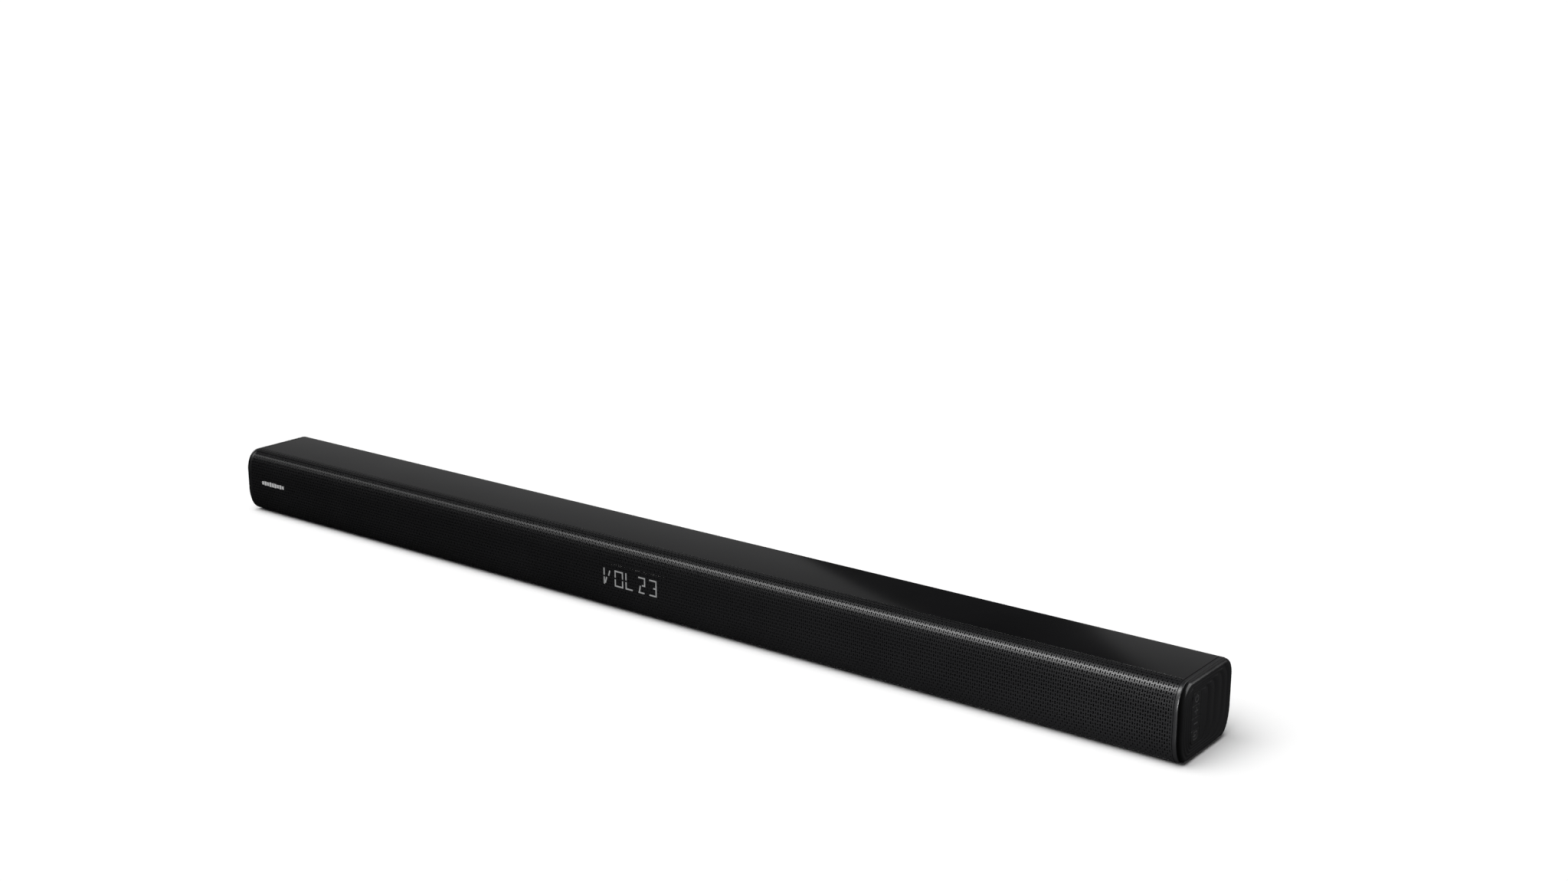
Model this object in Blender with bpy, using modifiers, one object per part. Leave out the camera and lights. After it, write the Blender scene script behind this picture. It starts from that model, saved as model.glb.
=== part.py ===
"""Soundbar: a slim bar loudspeaker with a wrapped perforated grille, two end caps and side keys.

X runs along the bar, the grille faces -Y and Z is up. The origin is on the floor, under the middle.
Sizes are metres; mm() turns millimetres into metres.
"""
import bpy
import bmesh
from math import cos, pi, radians, sin
from mathutils import Matrix, Vector


def mm(*values):
    """Millimetres to metres, for one value or several."""
    metres = tuple(value / 1000.0 for value in values)
    return metres[0] if len(metres) == 1 else metres


# Driving dimensions
LENGTH = mm(950.0)
DEPTH = mm(75.4)
HEIGHT = mm(58.0)
FOOT_HEIGHT = mm(1.9)          # air under the body
WALL = mm(2.3)                 # moulded covers
SHEET = mm(0.8)                # grille steel
GAP = mm(0.3)                  # between touching pieces
CORNER_REACH = {               # each corner is a quarter ellipse: its reach in Y and in Z
    "back_bottom": mm(12.4, 21.2),
    "back_top": mm(11.1, 13.6),
    "front_top": mm(12.8, 18.7),
    "front_bottom": mm(9.8, 20.6),
}
CORNER_STEPS = 8

# Along the length
COVER_END = mm(468.3)          # the grille and covers stop here
CAP_BAND = mm(2.9)             # visible width of the satin end cap
CAP_SPIGOT = mm(4.1)           # how far the end cap plugs into the covers
CAP_WALL = mm(1.6)
PLATE_ROUND = mm(2.8)          # rounded edge of the gloss end plate

# Seams round the section
TOP_SEAM_Y = mm(-22.9)         # grille meets the top cover
BOTTOM_SEAM_Y = mm(-23.9)      # grille meets the bottom case
BACK_SEAM_Z = FOOT_HEIGHT + mm(42.2)
# The top cover's inner lip along the back seam: its reach inwards, its thickness and its drop behind the case
LIP_SHELF = mm(4.5)
LIP_THICK = mm(1.8)
LIP_DROP = mm(1.6)

# Front baffle and drivers
BAFFLE_FRONT_Y = mm(-30.5)
BAFFLE_THICKNESS = mm(2.5)
BAFFLE_LEDGE_Y = mm(-16.0)
BAFFLE_LEDGE = mm(1.6)
BAFFLE_END = mm(464.0)
BAFFLE_LOW_Z = FOOT_HEIGHT + mm(2.6)
BAFFLE_HIGH_Z = FOOT_HEIGHT + mm(52.9)
DRIVER_X = mm(395.0)
DRIVER_Z = FOOT_HEIGHT + mm(28.0)
DRIVER_SIDES = 20
ROUND_SIDES = 16

# Keys in the right end plate
KEY_NAMES = ("power_button", "volume_up_button", "volume_down_button", "source_button")
KEY_Y = mm(-16.2)
KEY_PITCH = mm(8.7)
KEY_TOP_Z = FOOT_HEIGHT + mm(41.9)
KEY_WIDTH = mm(11.6)
KEY_LIP = mm(1.0)              # hidden lip that keeps the key in its slot

# Display behind the grille
DISPLAY_Z = FOOT_HEIGHT + mm(27.35)
DISPLAY_WIDTH = mm(62.0)
DISPLAY_HEIGHT = mm(17.0)

# Badge on the grille
BADGE_X = mm(-437.8)
BADGE_Z = FOOT_HEIGHT + mm(28.9)
BADGE_SIZE = mm(33.0, 4.4)

# Back of the case
BOARD_TOP_Z = FOOT_HEIGHT + mm(27.4)
TRAY_HALF_WIDTH = mm(61.7)
TRAY_LOW_Z = FOOT_HEIGHT + mm(22.3)
TRAY_HIGH_Z = FOOT_HEIGHT + mm(40.1)
TRAY_FLOOR_Y = mm(23.7)
TRAY_WALL = mm(1.5)
INLET_X = mm(200.0)
INLET_Z = FOOT_HEIGHT + mm(31.2)
BRACKET_X = mm(300.0)
KEYHOLE_Z = FOOT_HEIGHT + mm(28.2)
BRACKET_HALF_WIDTH = mm(18.0)
BRACKET_LOW_Z = KEYHOLE_Z - mm(5.6)
BRACKET_HIGH_Z = KEYHOLE_Z + mm(11.8)
BRACKET_SHEET = mm(1.5)
BRACKET_LIP = mm(2.4)          # ledge of the case behind the bracket's edge

# Under the case
FOOT_PLACES = {
    "foot_front_left": mm(-400.0, -13.0),
    "foot_front_right": mm(400.0, -13.0),
    "foot_back_left": mm(-400.0, 17.0),
    "foot_back_right": mm(400.0, 17.0),
}
FOOT_RADIUS = mm(8.0)
FOOT_POCKET = mm(0.8)
SCREW_Y = mm(-20.0)
SCREW_X = {
    "case_screw_left": mm(-450.0),
    "case_screw_mid_left": mm(-150.0),
    "case_screw_mid_right": mm(150.0),
    "case_screw_right": mm(450.0),
}
SCREW_RADIUS = mm(1.3)
SCREW_HEAD_RADIUS = mm(2.9)
SCREW_POCKET = mm(1.6)
BOSS_HEIGHT = mm(9.0)


# ---- scene and materials ---------------------------------------------------------------

def clear_scene():
    for obj in list(bpy.data.objects):
        bpy.data.objects.remove(obj, do_unlink=True)


def new_collection(name):
    collection = bpy.data.collections.new(name)
    bpy.context.scene.collection.children.link(collection)
    return collection


def material(name, colour, roughness, metallic=0.0):
    """A Principled material, made once and then shared."""
    made = bpy.data.materials.get(name)
    if made is None:
        made = bpy.data.materials.new(name)
        made.use_nodes = True
        shader = made.node_tree.nodes["Principled BSDF"]
        shader.inputs["Base Color"].default_value = (*colour, 1.0)
        shader.inputs["Roughness"].default_value = roughness
        shader.inputs["Metallic"].default_value = metallic
        made.diffuse_color = (*colour, 1.0)
    return made


def satin_plastic():
    return material("satin_black_abs", (0.024, 0.024, 0.025), 0.45)


def gloss_plastic():
    return material("gloss_black_abs", (0.010, 0.010, 0.011), 0.12)


def key_plastic():
    return material("key_black_abs", (0.014, 0.014, 0.015), 0.2)


def inner_plastic():
    return material("moulded_inner_abs", (0.03, 0.03, 0.03), 0.6)


def painted_steel():
    return material("black_painted_steel", (0.02, 0.02, 0.02), 0.4, 0.3)


def plated_steel():
    return material("zinc_plated_steel", (0.55, 0.55, 0.56), 0.35, 1.0)


def aluminium():
    return material("anodised_aluminium", (0.62, 0.62, 0.63), 0.35, 1.0)


def ferrite():
    return material("dark_ferrite", (0.07, 0.07, 0.075), 0.6)


def rubber():
    return material("soft_rubber", (0.02, 0.02, 0.02), 0.8)


def paper():
    return material("pressed_paper", (0.05, 0.05, 0.05), 0.85)


def spider_cloth():
    return material("phenolic_cloth", (0.45, 0.27, 0.08), 0.8)


def circuit_board():
    return material("green_circuit_board", (0.02, 0.12, 0.05), 0.5)


def smoked_acrylic():
    return material("smoked_acrylic", (0.02, 0.02, 0.02), 0.08)


def display_white():
    return material("display_housing_white", (0.7, 0.7, 0.7), 0.5)


def cable_sleeve():
    return material("cable_pvc", (0.12, 0.02, 0.02), 0.5)


# ---- shape helpers ---------------------------------------------------------------------

def finish(obj, name, finish_material):
    """Name an object, give it its material and put it among the parts."""
    obj.name = name
    obj.data.name = name
    obj.data.materials.clear()
    obj.data.materials.append(finish_material)
    move_to(obj, PARTS)
    return obj


def move_to(obj, collection):
    for old in list(obj.users_collection):
        old.objects.unlink(obj)
    collection.objects.link(obj)


def combine(target, tool, operation):
    """A Boolean modifier whose tool is hidden among the cutters."""
    tool.hide_render = True
    tool.display_type = "WIRE"
    move_to(tool, CUTTERS)
    modifier = target.modifiers.new(operation.lower(), "BOOLEAN")
    modifier.object = tool
    modifier.operation = operation
    modifier.solver = "EXACT"


def cut(target, tool):
    combine(target, tool, "DIFFERENCE")


def fuse(target, tool):
    combine(target, tool, "UNION")


def box(name, low, high, finish_material, round_edge=0.0):
    """A box between two corners, its scale applied, with optional rounded edges."""
    low, high = Vector(low), Vector(high)
    bpy.ops.mesh.primitive_cube_add(size=1.0, location=(low + high) / 2)
    obj = bpy.context.object
    obj.data.transform(Matrix.Diagonal((*(high - low), 1.0)))
    finish(obj, name, finish_material)
    if round_edge:
        bevel = obj.modifiers.new("rounded_edges", "BEVEL")
        bevel.width = round_edge
        bevel.segments = 2
    return obj


def tool_box(low, high):
    return box("box_tool", low, high, inner_plastic())


AXIS_TURN = {"X": (0, pi / 2, 0), "Y": (pi / 2, 0, 0), "Z": (0, 0, 0)}


def cylinder(name, centre, radius, length, axis, finish_material, sides=ROUND_SIDES):
    bpy.ops.mesh.primitive_cylinder_add(vertices=sides, radius=radius, depth=length, location=centre)
    obj = bpy.context.object
    obj.data.transform(Matrix.Rotation(pi / sides, 4, "Z"))
    obj.rotation_euler = AXIS_TURN[axis]
    return finish(obj, name, finish_material)


def tool_cylinder(centre, radius, length, axis, sides=ROUND_SIDES):
    return cylinder("round_tool", centre, radius, length, axis, inner_plastic(), sides)


def closed_mesh(curve):
    """Make a filled curve into a welded mesh object in the same place, and drop the curve."""
    bpy.context.view_layer.update()
    graph = bpy.context.evaluated_depsgraph_get()
    mesh = bpy.data.meshes.new_from_object(curve.evaluated_get(graph))
    work = bmesh.new()
    work.from_mesh(mesh)
    bmesh.ops.remove_doubles(work, verts=work.verts, dist=1e-6)
    bmesh.ops.recalc_face_normals(work, faces=work.faces)
    work.to_mesh(mesh)
    work.free()
    obj = bpy.data.objects.new("outline", mesh)
    obj.matrix_world = curve.matrix_world.copy()
    bpy.context.scene.collection.objects.link(obj)
    bpy.data.objects.remove(curve, do_unlink=True)
    return obj


PLANE_TURN = {"X": (pi / 2, 0, pi / 2), "Y": (pi / 2, 0, 0), "Z": (0, 0, 0)}


def outline_plate(name, loops, low, high, axis, finish_material):
    """A flat outline carried along an axis from low to high. Later loops are holes.

    Points are (Y, Z) for a plate along X, (X, Z) along Y and (X, Y) along Z.
    """
    data = bpy.data.curves.new(name, "CURVE")
    data.dimensions = "2D"
    data.fill_mode = "BOTH"
    data.extrude = (high - low) / 2
    for loop in loops:
        spline = data.splines.new("POLY")
        spline.points.add(len(loop) - 1)
        spline.use_cyclic_u = True
        for point, (u, v) in zip(spline.points, loop):
            point.co = (u, v, 0.0, 1.0)
    curve = bpy.data.objects.new(name, data)
    bpy.context.scene.collection.objects.link(curve)
    curve.rotation_euler = PLANE_TURN[axis]
    middle = (low + high) / 2
    curve.location = {"X": (middle, 0, 0), "Y": (0, middle, 0), "Z": (0, 0, middle)}[axis]
    return finish(closed_mesh(curve), name, finish_material)


def tool_plate(loops, low, high, axis):
    return outline_plate("outline_tool", loops, low, high, axis, inner_plastic())


def corner_arc(corner, inset=0.0):
    """Points (Y, Z) of one corner of the body's section, inset from its outer surface."""
    side_y, side_z, start = {
        "back_bottom": (1, -1, -90),
        "back_top": (1, 1, 0),
        "front_top": (-1, 1, 90),
        "front_bottom": (-1, -1, 180),
    }[corner]
    reach_y, reach_z = CORNER_REACH[corner]
    middle_y = side_y * (DEPTH / 2 - reach_y)
    middle_z = HEIGHT - reach_z if side_z > 0 else FOOT_HEIGHT + reach_z
    points = []
    for step in range(CORNER_STEPS + 1):
        angle = radians(start + 90.0 * step / CORNER_STEPS)
        points.append((middle_y + (reach_y - inset) * cos(angle), middle_z + (reach_z - inset) * sin(angle)))
    return points


def section(inset=0.0):
    """The body's whole outline in the YZ plane, inset from its outer surface."""
    corners = ("back_bottom", "back_top", "front_top", "front_bottom")
    return [point for corner in corners for point in corner_arc(corner, inset)]


def path_shell(name, path, thickness, finish_material):
    """A cover: an open (Y, Z) path carried along the bar, its wall growing inwards."""
    mesh = bpy.data.meshes.new(name)
    work = bmesh.new()
    line = [work.verts.new((-COVER_END, y, z)) for y, z in path]
    edges = [work.edges.new(pair) for pair in zip(line, line[1:])]
    swept = bmesh.ops.extrude_edge_only(work, edges=edges)["geom"]
    moved = [item for item in swept if isinstance(item, bmesh.types.BMVert)]
    bmesh.ops.translate(work, verts=moved, vec=(2 * COVER_END, 0, 0))
    work.normal_update()
    middle = Vector((0, 0, (FOOT_HEIGHT + HEIGHT) / 2))
    first = next(iter(work.faces))
    if first.normal.dot(first.calc_center_median() - middle) < 0:
        bmesh.ops.reverse_faces(work, faces=work.faces)
    work.to_mesh(mesh)
    work.free()
    obj = bpy.data.objects.new(name, mesh)
    bpy.context.scene.collection.objects.link(obj)
    finish(obj, name, finish_material)
    wall = obj.modifiers.new("wall", "SOLIDIFY")
    wall.thickness = thickness
    wall.offset = -1.0
    wall.use_even_offset = True
    return obj


def turned(name, profile, place, finish_material, sides=DRIVER_SIDES):
    """A turned ring or disc facing -Y. The profile is (radius, height towards the front).

    A profile that starts and ends off the axis is closed into a ring.
    """
    mesh = bpy.data.meshes.new(name)
    work = bmesh.new()
    line = [work.verts.new((radius, 0, height)) for radius, height in profile]
    pairs = list(zip(line, line[1:]))
    if profile[0][0] > 0 and profile[-1][0] > 0:
        pairs.append((line[-1], line[0]))
    for pair in pairs:
        work.edges.new(pair)
    work.to_mesh(mesh)
    work.free()
    obj = bpy.data.objects.new(name, mesh)
    bpy.context.scene.collection.objects.link(obj)
    obj.location = place
    obj.rotation_euler = (pi / 2, 0, 0)
    finish(obj, name, finish_material)
    screw = obj.modifiers.new("turn", "SCREW")
    screw.steps = sides
    screw.render_steps = sides
    screw.use_merge_vertices = True
    screw.merge_threshold = 1e-5
    return obj


def oval_ring(name, stations, place, finish_material):
    """A closed ring lofted through oval stations (height towards the front, half width, half height)."""
    mesh = bpy.data.meshes.new(name)
    work = bmesh.new()
    rings = []
    for height, half_width, half_height in stations:
        ring = []
        for side in range(DRIVER_SIDES):
            angle = 2 * pi * side / DRIVER_SIDES
            ring.append(work.verts.new((half_width * cos(angle), -height, half_height * sin(angle))))
        rings.append(ring)
    for ring, following in zip(rings, rings[1:] + rings[:1]):
        for side in range(DRIVER_SIDES):
            ahead = (side + 1) % DRIVER_SIDES
            work.faces.new((ring[side], ring[ahead], following[ahead], following[side]))
    bmesh.ops.recalc_face_normals(work, faces=work.faces)
    work.to_mesh(mesh)
    work.free()
    obj = bpy.data.objects.new(name, mesh)
    bpy.context.scene.collection.objects.link(obj)
    obj.location = place
    return finish(obj, name, finish_material)


def oval(half_width, half_height, middle_u, middle_v, steps=28):
    """Points of an ellipse in a plate's own plane."""
    turn = [2 * pi * step / steps for step in range(steps)]
    return [(middle_u + half_width * cos(a), middle_v + half_height * sin(a)) for a in turn]


def ring_profile(inner, outer, low, high):
    """A rectangular ring section, in the order that turned() needs."""
    return [(outer, high), (outer, low), (inner, low), (inner, high)]


# ---- housing ---------------------------------------------------------------------------

def make_grille():
    path = [(TOP_SEAM_Y, HEIGHT)] + corner_arc("front_top") + corner_arc("front_bottom")
    path += [(BOTTOM_SEAM_Y, FOOT_HEIGHT)]
    grille = path_shell("front_grille", path, SHEET, painted_steel())
    half_width, half_height = BADGE_SIZE[0] / 2 + GAP, BADGE_SIZE[1] / 2 + GAP
    cut(grille, tool_box(
        (BADGE_X - half_width, -DEPTH / 2 - SHEET, BADGE_Z - half_height),
        (BADGE_X + half_width, -DEPTH / 2 + SHEET / 2, BADGE_Z + half_height),
    ))


def make_badge():
    half_width, half_height = BADGE_SIZE[0] / 2, BADGE_SIZE[1] / 2
    box("front_badge",
        (BADGE_X - half_width, -DEPTH / 2, BADGE_Z - half_height),
        (BADGE_X + half_width, -DEPTH / 2 + SHEET / 2 - GAP / 3, BADGE_Z + half_height),
        aluminium())


def make_top_cover():
    """Top and upper back, with a lip that hooks inside the bottom case's back wall."""
    path = corner_arc("back_top") + [(TOP_SEAM_Y + GAP, HEIGHT)]
    path = [(DEPTH / 2, BACK_SEAM_Z)] + path
    cover = path_shell("top_cover", path, WALL, satin_plastic())
    inside = DEPTH / 2 - WALL
    lip_back, lip_top = inside - GAP, BACK_SEAM_Z + LIP_THICK
    shelf = tool_box((-BAFFLE_END, inside - LIP_SHELF, BACK_SEAM_Z), (BAFFLE_END, inside + WALL / 2, lip_top))
    hook_low = (-BAFFLE_END, lip_back - LIP_THICK, BACK_SEAM_Z - LIP_DROP)
    hook = tool_box(hook_low, (BAFFLE_END, lip_back, lip_top))
    fuse(cover, shelf)
    fuse(cover, hook)


def make_bottom_case():
    path = [(BOTTOM_SEAM_Y + GAP, FOOT_HEIGHT)] + corner_arc("back_bottom")
    path += [(DEPTH / 2, BACK_SEAM_Z - GAP)]
    case = path_shell("bottom_case", path, WALL, satin_plastic())
    for x in SCREW_X.values():
        place = (x, SCREW_Y, FOOT_HEIGHT)
        cut(case, tool_cylinder(place, SCREW_HEAD_RADIUS + GAP, 2 * SCREW_POCKET, "Z"))
        cut(case, tool_cylinder(place, SCREW_RADIUS + GAP, 4 * WALL, "Z"))
    for x, y in FOOT_PLACES.values():
        cut(case, tool_cylinder((x, y, FOOT_HEIGHT), FOOT_RADIUS + GAP, 2 * FOOT_POCKET, "Z", 24))
    back_low, back_high = DEPTH / 2 - 3 * WALL, DEPTH / 2 + WALL
    cut(case, tool_box((-TRAY_HALF_WIDTH - GAP, back_low, TRAY_LOW_Z - GAP),
                       (TRAY_HALF_WIDTH + GAP, back_high, TRAY_HIGH_Z + GAP)))
    cut(case, tool_box((INLET_X - mm(13.3), back_low, INLET_Z - mm(8.3)),
                       (INLET_X + mm(13.3), back_high, INLET_Z + mm(8.3))))
    for x in (-BRACKET_X, BRACKET_X):
        seat_y = DEPTH / 2 - BRACKET_SHEET - GAP
        cut(case, tool_box((x - BRACKET_HALF_WIDTH - GAP, seat_y, BRACKET_LOW_Z - GAP),
                           (x + BRACKET_HALF_WIDTH + GAP, back_high, BRACKET_HIGH_Z + GAP)))
        opening = BRACKET_HALF_WIDTH - BRACKET_LIP
        cut(case, tool_box((x - opening, back_low, BRACKET_LOW_Z + BRACKET_LIP / 2),
                           (x + opening, back_high, BRACKET_HIGH_Z - BRACKET_LIP / 2)))


def make_front_baffle():
    front, rear = BAFFLE_FRONT_Y, BAFFLE_FRONT_Y + BAFFLE_THICKNESS
    low, high = BAFFLE_LOW_Z, BAFFLE_HIGH_Z
    chamfer = mm(1.0)
    channel = [
        (BAFFLE_LEDGE_Y, low), (BAFFLE_LEDGE_Y, low + BAFFLE_LEDGE), (rear, low + BAFFLE_LEDGE),
        (rear, high - BAFFLE_LEDGE), (BAFFLE_LEDGE_Y, high - BAFFLE_LEDGE), (BAFFLE_LEDGE_Y, high),
        (front + chamfer, high), (front, high - chamfer), (front, low + chamfer), (front + chamfer, low),
    ]
    baffle = outline_plate("front_baffle", [channel], -BAFFLE_END, BAFFLE_END, "X", inner_plastic())
    for x in SCREW_X.values():
        middle_z = low + BOSS_HEIGHT / 2
        fuse(baffle, tool_cylinder((x, SCREW_Y, middle_z), mm(3.2), BOSS_HEIGHT, "Z"))
        cut(baffle, tool_cylinder((x, SCREW_Y, middle_z), SCREW_RADIUS + GAP, 2 * BOSS_HEIGHT, "Z", 12))
    for x in (-DRIVER_X, DRIVER_X):
        opening = oval(mm(45.4), mm(19.0), x, DRIVER_Z)
        cut(baffle, tool_plate([opening], front - WALL, rear + WALL, "Y"))
    cut(baffle, tool_box(
        (-DISPLAY_WIDTH / 2 - GAP, front - WALL, DISPLAY_Z - DISPLAY_HEIGHT / 2 - GAP),
        (DISPLAY_WIDTH / 2 + GAP, rear + WALL, DISPLAY_Z + DISPLAY_HEIGHT / 2 + GAP),
    ))


def along(side, start, end):
    """Low and high X of something that runs outwards from start to end on one side."""
    return sorted((side * start, side * end))


def key_column_z():
    """Lowest and highest Z of the column of keys."""
    low = KEY_TOP_Z - (len(KEY_NAMES) - 1) * KEY_PITCH - KEY_PITCH / 2
    return low, KEY_TOP_Z + KEY_PITCH / 2


def make_end_cap(name, side):
    """A band on the outline, a spigot inside the covers and a bulkhead between two hollows."""
    band_start = COVER_END + GAP
    band_end = band_start + CAP_BAND
    bulkhead_start, bulkhead_end = COVER_END - CAP_WALL / 2, COVER_END + CAP_WALL / 2
    cap = outline_plate(name, [section()], *along(side, band_start, band_end), "X", satin_plastic())
    plug = along(side, band_start - CAP_SPIGOT, band_end - CAP_WALL)
    fuse(cap, tool_plate([section(WALL + GAP)], *plug, "X"))
    hollow = section(WALL + GAP + CAP_WALL)
    cut(cap, tool_plate([hollow], *along(side, band_start - 2 * CAP_SPIGOT, bulkhead_start), "X"))
    cut(cap, tool_plate([hollow], *along(side, bulkhead_end, band_end + CAP_WALL), "X"))
    if side > 0:
        for index in range(len(KEY_NAMES)):
            z = KEY_TOP_Z - index * KEY_PITCH
            cut(cap, tool_cylinder((COVER_END, KEY_Y, z), mm(2.1), 4 * CAP_WALL, "X"))


def make_end_plate(name, side):
    """Gloss plate on the cap, with a rounded rim, a shallow pocket behind and the key slot."""
    start = COVER_END + 2 * GAP + CAP_BAND
    outline = section(GAP)
    plate = outline_plate(name, [outline], *along(side, start, LENGTH / 2), "X", gloss_plastic())
    rim = plate.data.attributes.new("bevel_weight_edge", "FLOAT", "EDGE")
    face_height = side * (LENGTH / 2 - start) / 2
    vertices = plate.data.vertices
    for edge, weight in zip(plate.data.edges, rim.data):
        ends = [vertices[index].co for index in edge.vertices]
        on_face = all(abs(co.z - face_height) < 1e-6 for co in ends)
        weight.value = 1.0 if on_face and on_outline(ends, outline) else 0.0
    bevel = plate.modifiers.new("rounded_rim", "BEVEL")
    bevel.limit_method = "WEIGHT"
    bevel.width = PLATE_ROUND
    bevel.segments = 4
    pocket = along(side, start - mm(1.0), start + mm(1.4))
    cut(plate, tool_plate([section(mm(5.0))], *pocket, "X"))
    if side > 0:
        low, high = key_column_z()
        reach = KEY_WIDTH / 2 + GAP
        cut(plate, tool_box((start - WALL, KEY_Y - reach, low), (LENGTH / 2 + WALL, KEY_Y + reach, high)))


def on_outline(ends, outline):
    """True where an edge joins two neighbouring points of an outline."""
    places = []
    for co in ends:
        gaps = [abs(co.x - u) + abs(co.y - v) for u, v in outline]
        places.append(gaps.index(min(gaps)))
    apart = abs(places[0] - places[1])
    return apart in (1, len(outline) - 1)


# ---- keys ------------------------------------------------------------------------------

def make_keys():
    face = LENGTH / 2
    lip_start, lip_end = face - mm(2.8), face - mm(2.2)
    for index, name in enumerate(KEY_NAMES):
        z = KEY_TOP_Z - index * KEY_PITCH
        half_height = KEY_PITCH / 2 - GAP / 2
        key = box(name, (lip_end - GAP, KEY_Y - KEY_WIDTH / 2, z - half_height),
                  (face, KEY_Y + KEY_WIDTH / 2, z + half_height), key_plastic())
        reach = KEY_WIDTH / 2 + KEY_LIP
        fuse(key, tool_box((lip_start, KEY_Y - reach, z - half_height),
                           (lip_end, KEY_Y + reach, z + half_height)))
        stem_start = face - mm(8.6)
        middle = ((stem_start + lip_end) / 2, KEY_Y, z)
        fuse(key, tool_cylinder(middle, mm(1.5), lip_end - stem_start, "X", 12))


def make_button_board():
    """Upright board behind the keys, with one tact switch for each."""
    low, high = key_column_z()
    back, front = mm(461.0), mm(462.6)
    board_low, board_high = (back, KEY_Y - mm(7.0), low - mm(1.5)), (front, KEY_Y + mm(7.0), high + mm(1.5))
    board = box("button_board", board_low, board_high, circuit_board())
    reach = mm(3.0)
    for index in range(len(KEY_NAMES)):
        z = KEY_TOP_Z - index * KEY_PITCH
        fuse(board, tool_box((front - GAP, KEY_Y - reach, z - reach),
                             (front + mm(2.2), KEY_Y + reach, z + reach)))
        fuse(board, tool_cylinder((front + mm(2.2), KEY_Y, z), mm(1.4), mm(1.4), "X", 12))


# ---- display ---------------------------------------------------------------------------

def make_display():
    half_width, half_height = DISPLAY_WIDTH / 2, DISPLAY_HEIGHT / 2
    window_front = -DEPTH / 2 + SHEET + mm(0.5)
    window_back = window_front + mm(1.2)
    box("display_window",
        (-half_width - mm(2.0), window_front, DISPLAY_Z - half_height - mm(1.0)),
        (half_width + mm(2.0), window_back, DISPLAY_Z + half_height + mm(1.0)), smoked_acrylic())
    board_front = BAFFLE_FRONT_Y + BAFFLE_THICKNESS + GAP
    box("display_module", (-half_width, window_back + GAP, DISPLAY_Z - half_height),
        (half_width, board_front - GAP, DISPLAY_Z + half_height), display_white())
    box("display_board",
        (-half_width - mm(6.0), board_front, DISPLAY_Z - half_height - mm(2.0)),
        (half_width + mm(6.0), board_front + mm(1.6), DISPLAY_Z + half_height + mm(2.0)), circuit_board())


# ---- drivers ---------------------------------------------------------------------------

def make_driver(side_name, x):
    """An oval full-range driver. Heights are towards the front from the baffle's front face."""
    place = (x, BAFFLE_FRONT_Y, DRIVER_Z)
    prefix = side_name + "_driver_"

    basket = oval_ring(prefix + "basket", [
        mm(1.5, 48.0, 21.5), mm(0.3, 48.0, 21.5), mm(0.3, 45.0, 18.6), mm(-16.5, 17.5, 15.2),
        mm(-16.5, 10.9, 10.9), mm(-15.3, 10.9, 10.9), mm(-15.3, 16.2, 14.2), mm(0.0, 43.4, 17.2),
        mm(1.5, 43.8, 17.6),
    ], place, painted_steel())
    window_y = [BAFFLE_FRONT_Y + mm(depth) for depth in (6.0, 12.5)]
    for offset in (-mm(14.0), mm(14.0)):
        cut(basket, tool_box((x + offset - mm(8.0), window_y[0], DRIVER_Z - mm(30.0)),
                             (x + offset + mm(8.0), window_y[1], DRIVER_Z + mm(30.0))))

    oval_ring(prefix + "gasket", [
        mm(2.7, 48.0, 21.5), mm(1.8, 48.0, 21.5), mm(1.8, 45.3, 18.9), mm(2.7, 45.3, 18.9),
    ], place, rubber())

    oval_ring(prefix + "cone", [
        mm(1.9, 40.0, 13.8), mm(-3.5, 26.5, 12.6), mm(-10.1, 11.4, 11.4), mm(-10.1, 10.8, 10.8),
        mm(-9.3, 10.8, 10.8), mm(-3.1, 25.4, 11.9), mm(1.9, 39.0, 13.0),
    ], place, paper())

    make_surround(prefix + "surround", place)

    turned(prefix + "dust_cap", [
        mm(0.0, -5.9), mm(4.2, -6.3), mm(7.8, -7.4), mm(10.3, -8.9), mm(9.7, -8.9), mm(7.4, -7.8),
        mm(4.0, -6.8), mm(0.0, -6.4),
    ], place, paper())
    turned(prefix + "voice_coil", ring_profile(*mm(10.0, 10.5, -22.0, -9.2)), place, aluminium())
    turned(prefix + "spider", [
        mm(13.7, -12.5), mm(13.7, -12.9), mm(12.9, -13.5), mm(12.1, -12.9), mm(11.3, -13.5),
        mm(10.8, -12.9), mm(10.8, -12.5), mm(11.3, -13.1), mm(12.1, -12.5), mm(12.9, -13.1),
    ], place, spider_cloth())
    turned(prefix + "top_plate", ring_profile(*mm(10.9, 16.0, -19.8, -16.8)), place, plated_steel())
    turned(prefix + "magnet", ring_profile(*mm(11.5, 17.0, -27.1, -20.1)), place, ferrite())
    turned(prefix + "yoke", [
        mm(0.0, -16.8), mm(9.4, -16.8), mm(9.4, -27.4), mm(16.0, -27.4), mm(16.0, -30.4), mm(0.0, -30.4),
    ], place, plated_steel())


def make_surround(name, place):
    """Half-roll rubber edge between the cone's rim and the basket."""
    inner_width, inner_height = mm(40.3, 14.1)
    roll_width, roll_rise, skin = mm(3.2, 1.9, 0.45)
    base = mm(2.2)
    steps = 5
    under, over = [], []
    for step in range(steps + 1):
        angle = pi * step / steps
        reach = roll_width / 2 * (1 - cos(angle))
        rise = roll_rise * sin(angle)
        under.append((base + rise, inner_width + reach, inner_height + reach))
        over.append((base + skin + rise, inner_width + reach, inner_height + reach))
    lip = mm(1.1)
    edges = []
    for reach in (-lip, roll_width + lip):
        edges.append([(base + skin, inner_width + reach, inner_height + reach),
                      (base, inner_width + reach, inner_height + reach)])
    inner, outer = edges
    oval_ring(name, inner + under + outer[::-1] + over[::-1], place, rubber())


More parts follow.
